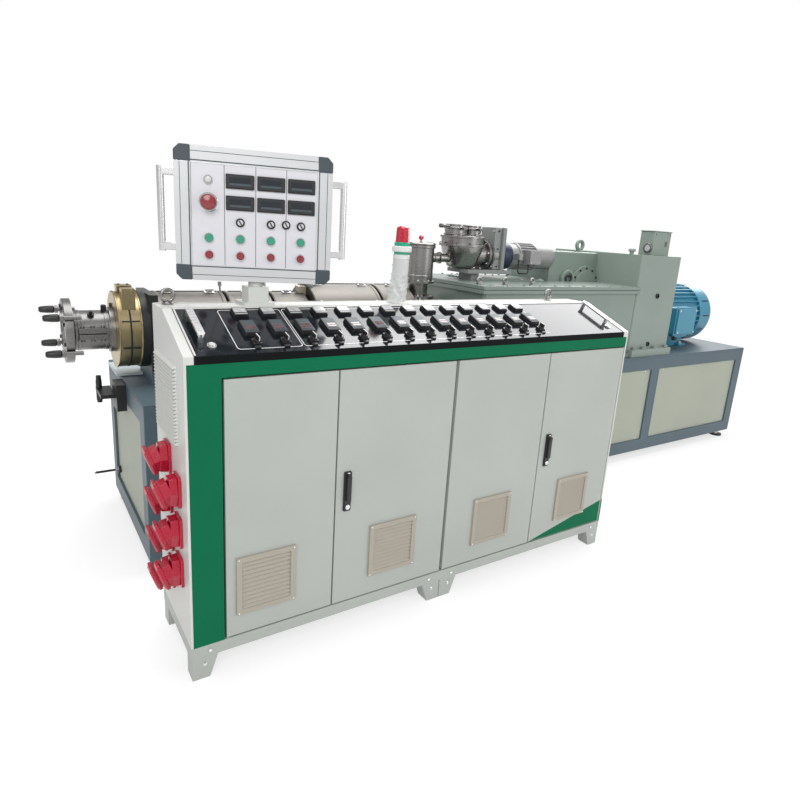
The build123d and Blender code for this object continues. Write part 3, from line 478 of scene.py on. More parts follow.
# Screws of the plinth, the legs and the vents
piece = Piece()
for x in (60, 942, 1058, 1940):
    piece.cap(front(x, 0, 101), 6, 4)
piece.done("plinth_screws", "chrome", bevel=0)
piece = Piece()
for x in (42, 958, 1042, 1958):
    piece.bolt(front(x, 0, 55), 5, 4)
piece.done("leg_bolts", "chrome", bevel=0)
for i, x in enumerate(LEAF_CENTRES):
    piece = Piece()
    for side in (-1, 1):
        for end in (-1, 1):
            piece.cap(front(x + side * 96, -9, 308 + end * 98), 3, 1.5)
    piece.done(f"vent_{i + 1}_screws", "chrome", f"door_{i + 1}_leaf", 0)

# Console: columns of an ammeter, a temperature controller, a switch and a button
bezels, meters, digits, switches, lines, controllers = (Piece() for _ in range(6))
for i in range(CONTROLLERS):
    x = CONTROLLER_FIRST + CONTROLLER_PITCH * i
    at = slope(x, METER_ROW)
    bezels.plate(at, 50, 50, 9, 3).plate(at, 46, 46, 13, 4, 9)
    meters.plate(at, 41, 37, 14.4, 2, 12)
    bezels.box(at, 41, 4.5, 15.2, 13, 0, -12)
    bezels.prism(turned(at, 38), [(-0.6, -6), (0.6, -6), (0.4, 14), (-0.4, 14)], 15, None, 14.4)
    at = slope(x, CONTROLLER_ROW)
    bezels.plate(at, 52, 80, 6, 4).prism(at, rounded(50, 78, 4), 16, rounded(47, 74, 4), 6)
    controllers.plate(at, 41, 66, 16.8, 3, 14)
    for y in (-2, -14):
        digits.box(at, 32, 8, 17.3, 16.5, 0, y)
    for k in range(4):
        bezels.plate(slope(x - 13.5 + 9 * k, CONTROLLER_ROW - 26), 6.5, 5, 18, 1.5, 16)
    at = slope(x, SWITCH_ROW)
    switches.plate(at, 30, 30, 10, 3).rod(at, 13, 17, 12, 28, 10)
    grip = turned(at, 8)
    switches.prism(grip, rounded(10, 26, 4), 30, rounded(8, 24, 3.5), 17)
    lines.box(grip, 2.4, 24, 30.4, 29.6)
    lines.box(grip, 2.4, 1.0, 30.4, 17, 0, -12.9)
    switches.plate(slope(x - 4, BUTTON_ROW), 20, 12, 6, 2)
# White lines round two groups of instruments
for start_x, end_x in ((165, 378), (383, 1500)):
    width, height, stroke = end_x - start_x, 232, 5
    outer, inner = rounded(width, height, 12, 6), rounded(width - stroke, height - stroke, 10, 6)
    at = slope((start_x + end_x) / 2, 139)
    outer_top, inner_top = lines.loop(at, outer, 0.5), lines.loop(at, inner, 0.5)
    outer_foot, inner_foot = lines.loop(at, outer, 0.1), lines.loop(at, inner, 0.1)
    lines.skin(outer_top, inner_top)
    lines.skin(outer_foot, outer_top)
    lines.skin(inner_top, inner_foot)
    lines.skin(inner_foot, outer_foot)
bezels.done("console_bezels", "black", bevel=0.6, replaces=("panel_instruments",))
meters.done("ammeter_faces", "glassy", bevel=0.4)
controllers.done("controller_faces", "slate", bevel=0.5)
digits.done("controller_displays", "red_display", bevel=0.3)
switches.done("console_switches", "black", bevel=0.9)
lines.done("console_lines", "white", bevel=0)
# Lock caps, the black lip under the panel and the folded trim round it
piece = Piece()
for x in (94, 1900):
    at = slope(x, 50)
    piece.lathe(at, [(0, 7), (7, 7), (8.5, 6), (9, 4), (12.5, 4), (14, 3), (14, 0)], 32)
    piece.box(turned(at, 35), 2.2, 11, 7.6, 6.5)
piece.done("panel_lock_caps", "chrome", bevel=0.3)
Piece().box(front(CABINET_MIDDLE, 0, 1072.5), 1934, 24, 0.5).done("panel_lip", "lip", bevel=0)
piece = Piece().box(slope(34, SLOPE_LENGTH / 2), 6, SLOPE_LENGTH - 8, 2.4)
piece.box(slope(1966, SLOPE_LENGTH / 2), 6, SLOPE_LENGTH - 8, 2.4)
piece.box(slope(CABINET_MIDDLE, SLOPE_LENGTH - 4), 1938, 6, 2.4)
piece.done("panel_trim", "cream", bevel=0.8)
piece = Piece().box(top(CABINET_MIDDLE, 262, RIDGE_TOP), 1990, 7, 3)
piece.box(top(CABINET_MIDDLE, 376, RIDGE_TOP), 1990, 5, 2.5)
piece.done("ridge_folds", "cream", bevel=1.2)

piece = Piece()
for x in (40, 1815):
    at = top(x, 350, RIDGE_TOP)
    piece.lathe(at, [(0, 9), (9, 9), (12, 7), (19, 4), (19, 0)], 28)
    piece.torus(front(x, 350, RIDGE_TOP + 29), 19.5, 5.8)
piece.done("eye_bolts", "inox", bevel=0, replaces=("lifting_eyes",))

# Beacon in its film
at = top(BEACON_X, BEACON_Y, RIDGE_TOP)
piece = Piece()
profile = [(0, 0), (40, 0), (40, 6), (27, 10), (27, 60), (30, 64), (30, 172), (33, 176), (33, 190), (0, 190)]
piece.lathe(at, profile, 40)
piece.done("beacon_stem", "white", bevel=0.6, replaces=("beacon",))
piece = Piece().lathe(at, [(28, 190), (31, 192), (31, 200), (28, 202), (0, 202)], 40)
piece.lathe(at, [(0, 222), (28, 222), (31, 224), (31, 237), (28, 239), (0, 239)], 40)
piece.done("beacon_green", "green_lens", bevel=0.5)
piece = Piece().lathe(at, [(0, 201), (36, 201), (39, 204), (39, 221), (36, 224), (0, 224)], 40)
piece.done("beacon_collar", "white", bevel=0.5)
piece = Piece()
profile = [(0, 239), (29, 239)]
for k in range(12):
    radius = 29 - 2.5 * k / 11
    profile += [(radius, 241 + 4.3 * k), (radius - 1.3, 243 + 4.3 * k)]
profile += [(24, 296), (17, 301), (0, 303)]
piece.lathe(at, profile, 40)
piece.done("beacon_lens", "red_lens", bevel=0)
# Wrinkled film: a tube whose radius wanders with the angle and the height
piece = Piece()
rows, seg = 60, 72
grid = []
for i in range(rows + 1):
    z = 1190 + 190 * i / rows
    mean_radius = 44 - 8 * min(1, max(0, z - 1230) / 110)
    lean = 14 * (1 - i / rows) ** 2
    ring = []
    for j in range(seg):
        turn = 2 * math.pi * j / seg
        spot = Vector((math.cos(turn) * 2.2, math.sin(turn) * 2.2, z / 26))
        crease = noise.turbulence(spot, 4, False) - 0.9
        radius = mean_radius + 8.5 * crease + 3.0 * noise.noise(Vector((turn * 1.5, z / 9, 3.7)))
        radius = max(32.5, min(radius, 47))
        point = place(BEACON_X - lean + radius * math.cos(turn), BEACON_Y + radius * math.sin(turn), z)
        ring.append(piece.bm.verts.new(point))
    grid.append(ring)
for lower, upper in zip(grid, grid[1:]):
    piece.skin(lower, upper)
piece.done("beacon_film", "film", bevel=0, sharp=60)

# Operator box: displays, knobs and buttons in four columns
HEAD = "operator_head"
piece, rings, marks, greens, reds, displays, lamp = (Piece() for _ in range(7))
for y in DISPLAY_ROWS:
    for x in COLUMNS[1:]:
        at = panel(x, y)
        piece.plate(at, 91, 46, 5, 3).plate(at, 84, 39, 8, 3, 5)
        displays.plate(at, 70, 27, 8.6, 2, 7)
for x, y in [(column, -19) for column in COLUMNS[1:]] + [(100, -17)]:
    at = panel(x, y)
    piece.lathe(at, [(14.5, 0), (14.5, 5), (12.5, 7), (0, 7)], 32)
    marks.rod(at, 9.5, 15, 9, 28, 7)
    piece.box(turned(at, 30), 4, 17, 17, 15)
for y, buttons in ((-73, greens), (-128, reds)):
    for x in COLUMNS:
        at = panel(x, y)
        rings.lathe(at, [(17, 0), (17, 4), (15.5, 6), (13.5, 6), (13.5, 3)], 32)
        buttons.lathe(at, [(13, 3), (13, 9), (11, 11.5), (0, 12)], 28)
at = panel(COLUMNS[0], 110)
rings.lathe(at, [(15, 0), (15, 4), (13.5, 6), (10.5, 6), (10.5, 3)], 32)
lamp.lathe(at, [(10.3, 3), (10.3, 8), (7, 11), (0, 12)], 28)
at = panel(COLUMNS[0], 40)
rings.lathe(at, [(31, 0), (31, 2.5), (29, 4), (22, 4)], 40)
reds.lathe(at, [(12, 3), (12, 20), (23, 21), (25, 24), (24.5, 30), (20, 36), (10, 39), (0, 40)], 40)
piece.done("operator_bezels", "black", HEAD, 0.6, replaces=("operator_instruments",))
displays.done("operator_displays", "display", HEAD, 0.3)
marks.done("operator_marks", "lamp", HEAD, 0.3)
rings.done("operator_rings", "chrome", HEAD, 0)
greens.done("operator_green", "green_button", HEAD, 0)
reds.done("operator_red", "red_button", HEAD, 0)
lamp.done("operator_lamp", "lamp", HEAD, 0)
# Grooves of the profile rails as dark strips of painted shade, lines between the columns and a strip in each
# display
piece = Piece()
# Dark strips on the rails: painted shade inside the grooves
for side in (-1, 1):
    piece.box(panel(side * GROOVE_X, 0, OPERATOR_RAIL), 1.6, 322, 0.9)
    piece.box(panel(side * 209.5, 0, OPERATOR_RAIL), 3.4, 334, 0.9)
for side in (-1, 1):
    piece.box(panel(0, side * GROOVE_Y, OPERATOR_RAIL), 408, 1.6, 0.9)
    piece.box(panel(0, side * 167, OPERATOR_RAIL), 422, 3.4, 0.9)
for y in DISPLAY_ROWS:
    for x in COLUMNS[1:]:
        piece.box(panel(x, y - 9), 68, 7, 9.0, 8.4)
for x in (-100, 0, 100):
    piece.box(panel(x, 0), 1.6, 322, 0.7)
piece.done("operator_groove_shade_and_lines", "slate", HEAD, 0)

# Six-sided sockets on the cabinet's end, each with a tilted lid
for i, (y, z) in enumerate(SOCKETS):
    piece = Piece()
    at = left(0, y, z)
    piece.plate(at, 84, 104, 9, 14)
    piece.prism(at, six_sided(80, 94), 33, six_sided(76, 88), 9)
    out = Vector((-1, 0, -0.35)).normalized()
    tilted = basis(place(-30, y, z), -Y, out.cross(-Y), out)
    piece.prism(tilted, six_sided(74, 80), 26, six_sided(72, 76), -4)
    piece.prism(tilted, six_sided(80, 88), 33, six_sided(80, 88), 23)
    piece.prism(tilted, six_sided(80, 88), 39, six_sided(64, 72), 33)
    piece.box(tilted, 40, 12, 34, 24, 0, 45)
    piece.box(tilted, 22, 9, 34, 24, 0, -45)
    piece.done(f"plug_socket_{i + 1}", "red", bevel=1.6, replaces=("end_sockets",) if i == 0 else ())

# Machine frame: screws of the side panels, nuts of the feet
piece = Piece()
bay = (BASE_LENGTH - BASE_POST) / 4
for i in range(4):
    start_x = BASE_LEFT + BASE_POST + i * bay
    width = bay - BASE_POST
    for share in (0.06, 0.5, 0.94):
        for z in (152, 638):
            piece.cap(front(start_x + width * share, PANEL_FRONT, z), 5, 3)
            piece.cap(rear(start_x + width * share, PANEL_BACK, z), 5, 3)
piece.done("frame_panel_screws", "chrome", bevel=0)
piece = Piece()
for i in range(4):
    for y in (FOOT_FRONT, FOOT_BACK):
        x = BASE_LEFT + 60 + i * (BASE_LENGTH - 120) / 3
        piece.hexagon(top(x, y, 14), 21, 14)
        piece.hexagon(top(x, y, 40), 21, 15)
piece.done("foot_nuts", "chrome", bevel=0.8)
# Sheet tray on the left end of the deck under the die, on two runners; its pale bluish colour is a painted
# reflection of a bright steel top
piece = Piece().box(top(240, 1335, 755), 488, 246, 2.5)
piece.box(top(240, 1213, 745), 488, 2.5, 12)
piece.box(top(-3, 1335, 745), 2.5, 246, 12)
for x in (60, 420):
    piece.box(top(x, 1335, DECK_TOP), 30, 200, 12)
piece.done("drip_tray", "painted_reflection_sheet", bevel=0.6)

# Barrel line
AXIS = place(BASE_LEFT, AXIS_Y, AXIS_Z)


def along(x, radius=0.0, angle=0.0):
    """Placement on the barrel's axis at station x, its local z pointing along the machine."""
    at = basis(AXIS + Vector((x * MM, 0, 0)), Y, Z, X)
    return turned(at, angle) @ Matrix.Translation((radius * MM, 0, 0))


def radial(x, radius, angle):
    """Placement on a cylinder about the axis: local z points outwards, local x along the machine."""
    turn = math.radians(angle)
    out = Y * math.cos(turn) + Z * math.sin(turn)
    return basis(AXIS + Vector((x * MM, 0, 0)) + out * radius * MM, X, out.cross(X), out)


piece = Piece()
for k in range(8):
    piece.cap(turned(along(-222, 108, 22.5 + 45 * k), 180, "X"), 8, 6)
piece.done("flange_screws", "dark", bevel=0)
piece = Piece().lathe(along(-222), [(46, -3), (58, -3), (60, 0), (46, 0)], 48, closed=True)
piece.lathe(along(-190), [(85, 8), (93, 0), (85, 0)], 48, closed=True)
for x in (-174, -70):
    piece.lathe(along(x), [(84, 0), (86, 1), (86, 13), (84, 14)], 48)
piece.done("adapter_rings", "steel", bevel=0.5)
piece = Piece()
for side in (-1, 1):
    for z in (-13, 13):
        spot = basis(AXIS + Vector((-0.12, side * 0.092, z * MM)), X, Y, Z)
        piece.box(spot, 104, 34, 11, -11)
    for x in (-158, -120, -82):
        spot = basis(AXIS + Vector((x * MM, side * 0.096, 0.024)), X, Y, Z)
        piece.cap(spot, 8, 9)
        piece.rod(basis(AXIS + Vector((x * MM, side * 0.096, -0.024)), X, -Y, -Z), 8, 9, seg=20)
piece.done("adapter_clamp_ears", "cast", bevel=1.2)
piece = Piece().rod(radial(-120, 80, 125), 13, 16, seg=24)
piece.rod(radial(-120, 80, 125), 6, 30, seg=16, low=16)
piece.rod(radial(-66, 84, 100), 11, 26, seg=6)
piece.rod(radial(-30, 96, 80), 9, 18, seg=6)
piece.done("adapter_ports", "dark", bevel=0.5)

# Swing bolts of the die end, each with a grip
grip = [(0, -77), (9, -76), (13, -70), (15.5, -46), (16, -22), (11, -18), (0, -18)]
for i, angle in enumerate((30, 150, 210, 330)):
    at = along(-222, 146, angle)
    piece = Piece().rod(at, 9, 60, seg=20, low=-20)
    piece.hexagon(at, 17, -4, low=-18)
    piece.done(f"swing_stud_{i + 1}", "steel", bevel=0.6, replaces=("swing_bolts",) if i == 0 else ())
    Piece().lathe(at, grip, 24).done(f"swing_grip_{i + 1}", "black", bevel=0)

# Heater band and the flange behind it
piece = Piece()
for x in (-30, 58):
    piece.lathe(along(x), [(164, 0), (167.5, 1.5), (167.5, 6.5), (164, 8)], 72)
piece.box(radial(18, 163, 90), 60, 54, 26)
piece.plate(radial(18, 188, 90), 62, 62, 6, 5)
piece.done("heater_band_rims", "brass", bevel=0.8)
piece = Piece().lathe(along(14), [(164, 0), (165.6, 0.5), (165.6, 7.5), (164, 8)], 72)
for angle in (160, 200):
    piece.box(radial(18, 163, angle), 70, 5, 7)
for x in (0, 36):
    piece.cap(radial(x, 194, 90), 5, 4)
piece.done("heater_band_grooves", "dark", bevel=0.4)
piece = Piece()
for k in range(12):
    piece.bolt(turned(along(66, 158, 15 + 30 * k), 180, "X"), 8, 6)
piece.done("flange_bolts", "dark", bevel=0)

# Rims, hasps and seams of the barrel covers
# Each cover: where it starts and ends along the barrel, and its radius
COVERS = ((130, 440, 165), (452, 660, 165), (672, 850, 165), (862, 1245, 205), (1257, 1460, 205))
rims, hasps, seams = Piece(), Piece(), Piece()
for start, end, radius in COVERS:
    for low, high in ((start + 2, start + 20), (end - 20, end - 2)):
        profile = [(radius, low), (radius + 2.2, low + 3), (radius + 2.2, high - 3), (radius, high)]
        rims.lathe(along(0), profile, 72)
    middle = (start + end) / 2
    for x in (start + 60, end - 60) if end - start > 250 else (middle,):
        for angle in (100, 260):
            at = radial(x, radius, angle)
            hasps.plate(at, 46, 26, 4, 4)
            hasps.plate(at, 26, 18, 12, 3, 4)
            hasps.rod(turned(radial(x, radius + 14, angle), 90, "Y"), 6, 20, seg=16, low=-20)
            hasps.plate(radial(x, radius, angle - 9), 20, 18, 9, 3)
    for angle in (91, 270):
        seams.box(radial(middle, radius, angle), end - start - 44, 3, 3.2)
    for angle in (140, 220, 40, 320):
        for x in (start + 30, end - 30):
            hasps.cap(radial(x, radius, angle), 5, 3)
rims.done("cover_rims", "cover", bevel=0.5)
hasps.done("cover_hasps", "chrome", bevel=0.5)
seams.done("cover_seams", "dark", bevel=0)
piece = Piece()
for x in (446, 666, 856, 1251):
    piece.rod(radial(x, 118, 82), 5, 76, seg=14)
    piece.hexagon(radial(x, 118, 82), 9, 92, 72)
piece.done("thermocouples", "inox", bevel=0.4)
piece = Piece().box(radial(856, 150, 96), 66, 40, 42)
piece.box(radial(856, 150, 96), 74, 46, 47, 42)
piece.done("terminal_block", "terminal", bevel=1.0)
piece = Piece()
for k in range(4):
    spot = AXIS + Vector((0.84 + 0.01 * k, -0.015 + 0.004 * k, 0.19))
    steps = ((0, 0, 0), (0, -0.02, 0.018), (0.004, -0.05, 0.02), (0.01, -0.075, 0.004))
    piece.wire([spot + Vector(step) for step in steps], 2.4, 8)
piece.done("terminal_wires", "black", bevel=0)

# Feed throat
piece = Piece()
at = top(THROAT_X, AXIS_Y, 0)
piece.lathe(at, [(82, 1224), (84, 1226), (84, 1236), (82, 1238)], 56)
piece.lathe(at, [(82, 1386), (88, 1388), (88, 1402), (82, 1404)], 56)
piece.lathe(at, [(0, 1422), (60, 1421), (84, 1416), (90, 1410), (90, 1405), (0, 1405)], 56)
piece.lathe(at, [(58, 1107), (96, 1107), (96, 1121), (58, 1121)], 48)
piece.done("throat_rings", "inox", bevel=0.6)
piece = Piece()
for k in range(8):
    turn = math.radians(45 * k + 12)
    piece.bolt(top(THROAT_X + 84 * math.cos(turn), AXIS_Y + 84 * math.sin(turn), 1205), 6, 6)
    piece.bolt(top(THROAT_X + 82 * math.cos(turn), AXIS_Y + 82 * math.sin(turn), 1121), 7, 7)
for side in (-1, 1):
    for dx in (-60, 60):
        piece.bolt(top(THROAT_X + dx, AXIS_Y + side * 110, 1107), 9, 8)
piece.done("throat_bolts", "chrome", bevel=0)
piece = Piece().rod(top(1576, 1120, 1418), 4, 16, seg=12)
piece.lathe(top(1576, 1120, 1430), [(0, 0), (8, 1), (13, 6), (14.5, 13), (12, 21), (6, 26), (0, 27)], 28)
piece.done("throat_knob", "red_lens", bevel=0)

# Gearbox: split flange, bolts, lifting eyes and cover plate
piece = Piece()
for z in (1168, 1192):
    piece.box(top(2430, AXIS_Y, z), 1362, 790, 22)
piece.box(top(2430, AXIS_Y, DECK_TOP), 1362, 790, 26)
piece.done("gearbox_split_flange", "gear", bevel=3.0)
piece = Piece()
for x in [1800 + 126 * k for k in range(10)]:
    piece.bolt(top(x, 757, CASE_TOP), 6, 4)
    piece.bolt(top(x, 1525, CASE_TOP), 6, 4)
    piece.bolt(top(x, 757, DECK_TOP + 26), 11, 9)
piece.done("gearbox_bolts", "gear", bevel=0)
piece = Piece()
for x, y in ((1780, 830), (1973, 830), (2187, 830), (1840, 1440), (2560, 1440)):
    at = top(x, y, CASE_TOP)
    piece.lathe(at, [(0, 7), (10, 7), (16, 4), (16, 0)], 28)
    piece.torus(front(x, y, CASE_TOP + 22), 14, 5.5)
piece.done("gearbox_eyes", "inox", bevel=0)
piece = Piece().box(top(2240, 1200, CASE_TOP), 560, 300, 10)
piece.done("gearbox_cover_plate", "gear", bevel=1.5)
piece = Piece()
for x in (1985, 2150, 2330, 2495):
    for y in (1062, 1338):
        piece.bolt(top(x, y, CASE_TOP + 10), 7, 6)
piece.done("cover_plate_bolts", "chrome", bevel=0)
# Round bearing cover on the reducer's front, its lower part behind the lower case
piece = Piece()
at = front(COVER_X, 1120, COVER_Z)
for radius, low, high in ((140, 0, 18), (110, 18, 28)):
    start = math.asin(34 / radius)
    turns = [start + (math.pi - 2 * start) * k / 30 for k in range(31)]
    arc = [(radius * math.cos(turn), radius * math.sin(turn)) for turn in turns]
    piece.prism(at, arc, high, None, low)
piece.lathe(front(2800, 1120, 1229), [(62, 0), (62, 18), (56, 22), (42, 22), (42, 10), (0, 10)], 44)
piece.done("bearing_covers", "gear", bevel=1.6)
piece = Piece()
for angle in (30, 60, 90, 120, 150):
    dx, dz = 124 * math.cos(math.radians(angle)), 124 * math.sin(math.radians(angle))
    piece.cap(front(COVER_X + dx, 1102, COVER_Z + dz), 7, 6)
piece.torus(front(2800, 1098, 1229), 24, 6)
piece.done("bearing_screws", "dark", bevel=0)
# Lifting eye of the reducer; breather, plugs and foot bolts of the housing
piece = Piece().lathe(top(2990, 1200, 1410), [(0, 14), (18, 14), (30, 8), (30, 0)], 32)
piece.torus(front(2990, 1200, 1455), 30, 13)
piece.done("reducer_eye", "gear", bevel=0)
piece = Piece().lathe(top(3175, 905, 1420), [(14, 0), (14, 16), (24, 18), (24, 30), (20, 36), (0, 38)], 28)
piece.done("breather", "gear_light", bevel=0.6)
piece = Piece()
for x, z, radius in ((3323, 1153, 17), (3303, 822, 15)):
    at = front(x, 760, z)
    piece.lathe(at, [(radius, 0), (radius, 8), (radius * 0.7, 10), (radius * 0.62, 3), (0, 3)], 28)
piece.done("housing_plugs", "dark", bevel=0.5)
piece = Piece()
for x in (3135, 3240, 3366, 3495):
    piece.bolt(top(x, 742, 791), 14, 12)
piece.done("housing_foot_bolts", "gear_light", bevel=0)
# Oil unit: lid, sight glass on its left face, trim on its front
piece = Piece().plate(top(3384.5, 885, 1577), 196, 118, 6, 4)
piece.done("oil_unit_lid", "gear_light", bevel=1.2)
piece = Piece()
at = left(3291, 868, 1468)
piece.lathe(at, [(34, 0), (34, 7), (29, 11), (23, 11), (23, 5)], 40)
piece.done("sight_ring", "cast", bevel=0.6)
piece = Piece().lathe(at, [(23, 4), (23, 5.5), (0, 7)], 40)
piece.done("sight_glass", "glassy", bevel=0)
piece = Piece().box(front(3430, 830, 1498), 26, 34, 1)
piece.cap(front(3306, 830, 1560), 4, 3).cap(front(3463, 830, 1560), 4, 3)
piece.done("oil_unit_trim", "cast", bevel=0.3)

# Motor: cowl grille, slots, flange rings, terminal box and feet
piece = Piece()
end = right(4340, AXIS_Y, AXIS_Z)
for radius in (30, 55, 80, 105, 130, 155, 180):
    piece.lathe(end, [(radius, 1.5), (radius + 9, 1.5), (radius + 9, -2), (radius, -2)], 60, closed=True)
for k in range(12):
    piece.box(turned(end, 30 * k) @ Matrix.Translation((0.11, 0, 0)), 168, 4, 2, -2)
piece.done("cowl_grille", "blue", bevel=0)
piece = Piece().rod(end, 186, 0.4, seg=60)
piece.done("cowl_dark", "dark", bevel=0)
piece = Piece()
for angle in (150, 180, 210, 30, 0, 330, 90):
    at = turned(right(4250, AXIS_Y, AXIS_Z), angle) @ Matrix.Translation((0.2245, 0, 0))
    piece.plate(turned(at, 90, "Y"), 90, 10, 1.2, 4.5)
piece.done("cowl_slots", "dark", bevel=0)
piece = Piece().lathe(along(3523), [(225, 0), (229, 4), (229, 24), (225, 28)], 72)
piece.lathe(along(4152), [(220, 0), (228, 2), (228, 16), (225, 18)], 72)
piece.box(front(MOTOR_BOX_X, 836, MOTOR_BOX_Z), 250, 210, 10)
piece.plate(front(MOTOR_BOX_X, 836, MOTOR_BOX_Z), 226, 186, 22, 8, 10)
piece.box(top(MOTOR_BOX_X, 866, 835), 150, 54, 20)
for x in MOTOR_FEET:
    piece.box(top(x, AXIS_Y, DECK_TOP), 90, 430, 18)
piece.box(top(3870, AXIS_Y, 1180), 180, 34, 30)
piece.torus(front(3870, AXIS_Y, 1228), 26, 10)
piece.done("motor_fittings", "blue", bevel=2.0)
piece = Piece()
for side in (-1, 1):
    for end in (-1, 1):
        piece.bolt(front(MOTOR_BOX_X + side * 100, 814, MOTOR_BOX_Z + end * 80), 6, 5)
for x in MOTOR_FEET:
    for y in (950, 1332):
        piece.bolt(top(x, y, DECK_TOP + 18), 13, 12)
for k in range(8):
    piece.bolt(along(3547, 227, 22.5 + 45 * k), 8, 7)
piece.done("motor_bolts", "chrome", bevel=0)
piece = Piece().rod(top(3785, 866, 833), 17, 0, seg=24, low=-26)
piece.hexagon(top(3785, 866, 833), 21, -6, low=-16)
piece.done("motor_gland", "black", bevel=0.6)

# Feeder: bowl, lids, clamps and the tube to the throat
piece = Piece()
at = top(BOWL_X, AXIS_Y, 0)
piece.lathe(at, [(125, 1404), (137, 1406), (137, 1420), (125, 1422)], 60)
piece.lathe(at, [(125, 1452), (133, 1454), (133, 1466), (125, 1468)], 60)
for x, radius in LIDS:
    at = top(x, AXIS_Y, 0)
    piece.lathe(at, [(radius, 1500), (radius + 6, 1504), (radius + 6, 1512), (radius, 1516)], 48)
    piece.lathe(at, [(radius - 2, 1469), (radius + 4, 1471), (radius + 4, 1478), (radius - 2, 1480)], 48)
piece.lathe(top(1962, AXIS_Y, 0), [(0, 1534), (30, 1534), (44, 1531), (48, 1529), (0, 1529)], 48)
piece.lathe(right(1742, AXIS_Y, 1335), [(24, -24), (33, -22), (33, -10), (24, -8)], 36)
piece.lathe(right(1742, AXIS_Y, 1335), [(24, -60), (28, -58), (28, -44), (24, -42)], 36)
piece.done("feeder_rings", "inox", bevel=0.6)
piece = Piece()
for k in range(10):
    turn = math.radians(36 * k)
    piece.bolt(top(BOWL_X + 131 * math.cos(turn), AXIS_Y + 131 * math.sin(turn), 1420), 5, 6)
for x, radius in LIDS:
    piece.box(front(x, AXIS_Y - radius - 8, 1508), 26, 16, 18)
    piece.rod(front(x - 14, AXIS_Y - radius - 16, 1508), 6, 22, seg=16)
piece.rod(left(1832 - 62, 1120, 1516), 7, 62, seg=16)
piece.hexagon(left(1832 - 62, 1120, 1516), 13, 70, low=50)
piece.done("feeder_clamps", "cast", bevel=0.8)
piece = Piece().lathe(right(1975, AXIS_Y, FEEDER_Z), [(70, 60), (92, 62), (92, 78), (70, 80)], 48)
piece.lathe(right(1975, AXIS_Y, FEEDER_Z), [(70, 100), (80, 101), (80, 114), (70, 115)], 48)
piece.done("feeder_flanges", "cast", bevel=1.0)
# Reduction gear case between the bowl and the drive plate
piece = Piece().box(top(2112, AXIS_Y, 1279), 54, 132, 250)
piece.done("feeder_gear_case", "plate", bevel=5.0)
piece = Piece()
for k in range(8):
    turn = math.radians(45 * k + 10)
    piece.cap(left(2037, AXIS_Y - 82 * math.cos(turn), FEEDER_Z + 82 * math.sin(turn)), 6, 5)
for side in (-1, 1):
    for z in (1300, 1403, 1508):
        piece.cap(left(2085, AXIS_Y + side * 56, z), 6, 5)
        piece.cap(front(2112, 1075, z), 6, 4)
piece.done("feeder_screws", "chrome", bevel=0)
piece = Piece()
end = right(2163, AXIS_Y, FEEDER_Z)
piece.lathe(end, [(76, 0), (84, 2), (86, 40), (84, 70), (78, 74), (76, 74)], 56)
piece.done("feeder_coupling", "navy", bevel=0.8)
piece = Piece()
for k in range(24):
    piece.box(turned(end, 15 * k) @ Matrix.Translation((0.079, 0, 0)), 10, 3, 276, 148)
piece.lathe(end, [(76, 134), (82, 136), (82, 148), (76, 150)], 56)
piece.lathe(end, [(76, 276), (84, 279), (84, 295), (76, 298)], 56)
piece.plate(front(2385, 1021, FEEDER_Z), 92, 80, 6, 8)
piece.plate(front(2262, 1021, FEEDER_Z), 27, 32, 3, 3)
piece.done("feeder_motor_fins", "grey", bevel=0.5)
piece = Piece()
for side in (-1, 1):
    for end in (-1, 1):
        piece.cap(front(2385 + side * 37, 1015, FEEDER_Z + end * 31), 4, 3)
piece.done("feeder_box_screws", "chrome", bevel=0)

# The cable's loop, on the same points as its solid
curve = bpy.data.curves.new("cable_loop", "CURVE")
curve.dimensions = "3D"
points = [(0.238, 0.2595, 1.320), (0.238, 0.2595, 1.291), (0.238, 0.2595, 1.262), (0.194, 0.2595, 1.262),
          (0.150, 0.2595, 1.262), (0.150, 0.2595, 1.303), (0.150, 0.2595, 1.345)]
spline = curve.splines.new("NURBS")
spline.points.add(len(points) - 1)
for control, point in zip(spline.points, points):
    control.co = (*point, 1)
spline.order_u = 3
spline.use_endpoint_u = True
spline.resolution_u = 12
curve.bevel_depth = 0.004
curve.bevel_resolution = 5
curve.use_fill_caps = True
cable = new_object("cable_loop", curve)
curve.materials.append(SURFACES["black"])
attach(cable, "root")
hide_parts("feeder_cable")
piece = Piece().hexagon(top(2350, 1036, 1320), 9, 0, low=-9)
piece.hexagon(top(2262, 1036, 1345), 9, 0, low=-9)
piece.done("cable_glands", "black", bevel=0.4)

# Fittings of the left end: lever grip and pull rod
piece = Piece().lathe(top(-76, 1250, 0), [(0, 620), (9, 622), (13, 632), (13, 715), (10, 741), (0, 745)], 24)
piece.done("lever_grip", "black", bevel=0)
piece = Piece().rod(left(12, 1450, 195), 9, 14, seg=20)
piece.rod(left(-92, 1450, 195), 10, 6, seg=20)
piece.done("pull_rod_collars", "chrome", bevel=0.6)


# Stage, light and camera
def flat_colour(nodes, kind, strength):
    """White emission or background, or a grey diffuse surface."""
    node = nodes.new(kind)
    if kind == "ShaderNodeBsdfDiffuse":
        node.inputs["Color"].default_value = (strength, strength, strength, 1)
    else:
        node.inputs["Color"].default_value = (1, 1, 1, 1)
        node.inputs["Strength"].default_value = strength
    return node


def either(nodes, links, first, second):
    larger = nodes.new("ShaderNodeMath")
    larger.operation = "MAXIMUM"
    links.new(first, larger.inputs[0])
    links.new(second, larger.inputs[1])
    return larger.outputs[0]


def mixed(nodes, links, share, first, second):
    mix = nodes.new("ShaderNodeMixShader")
    links.new(share, mix.inputs[0])
    links.new(first.outputs[0], mix.inputs[1])
    links.new(second.outputs[0], mix.inputs[2])
    return mix


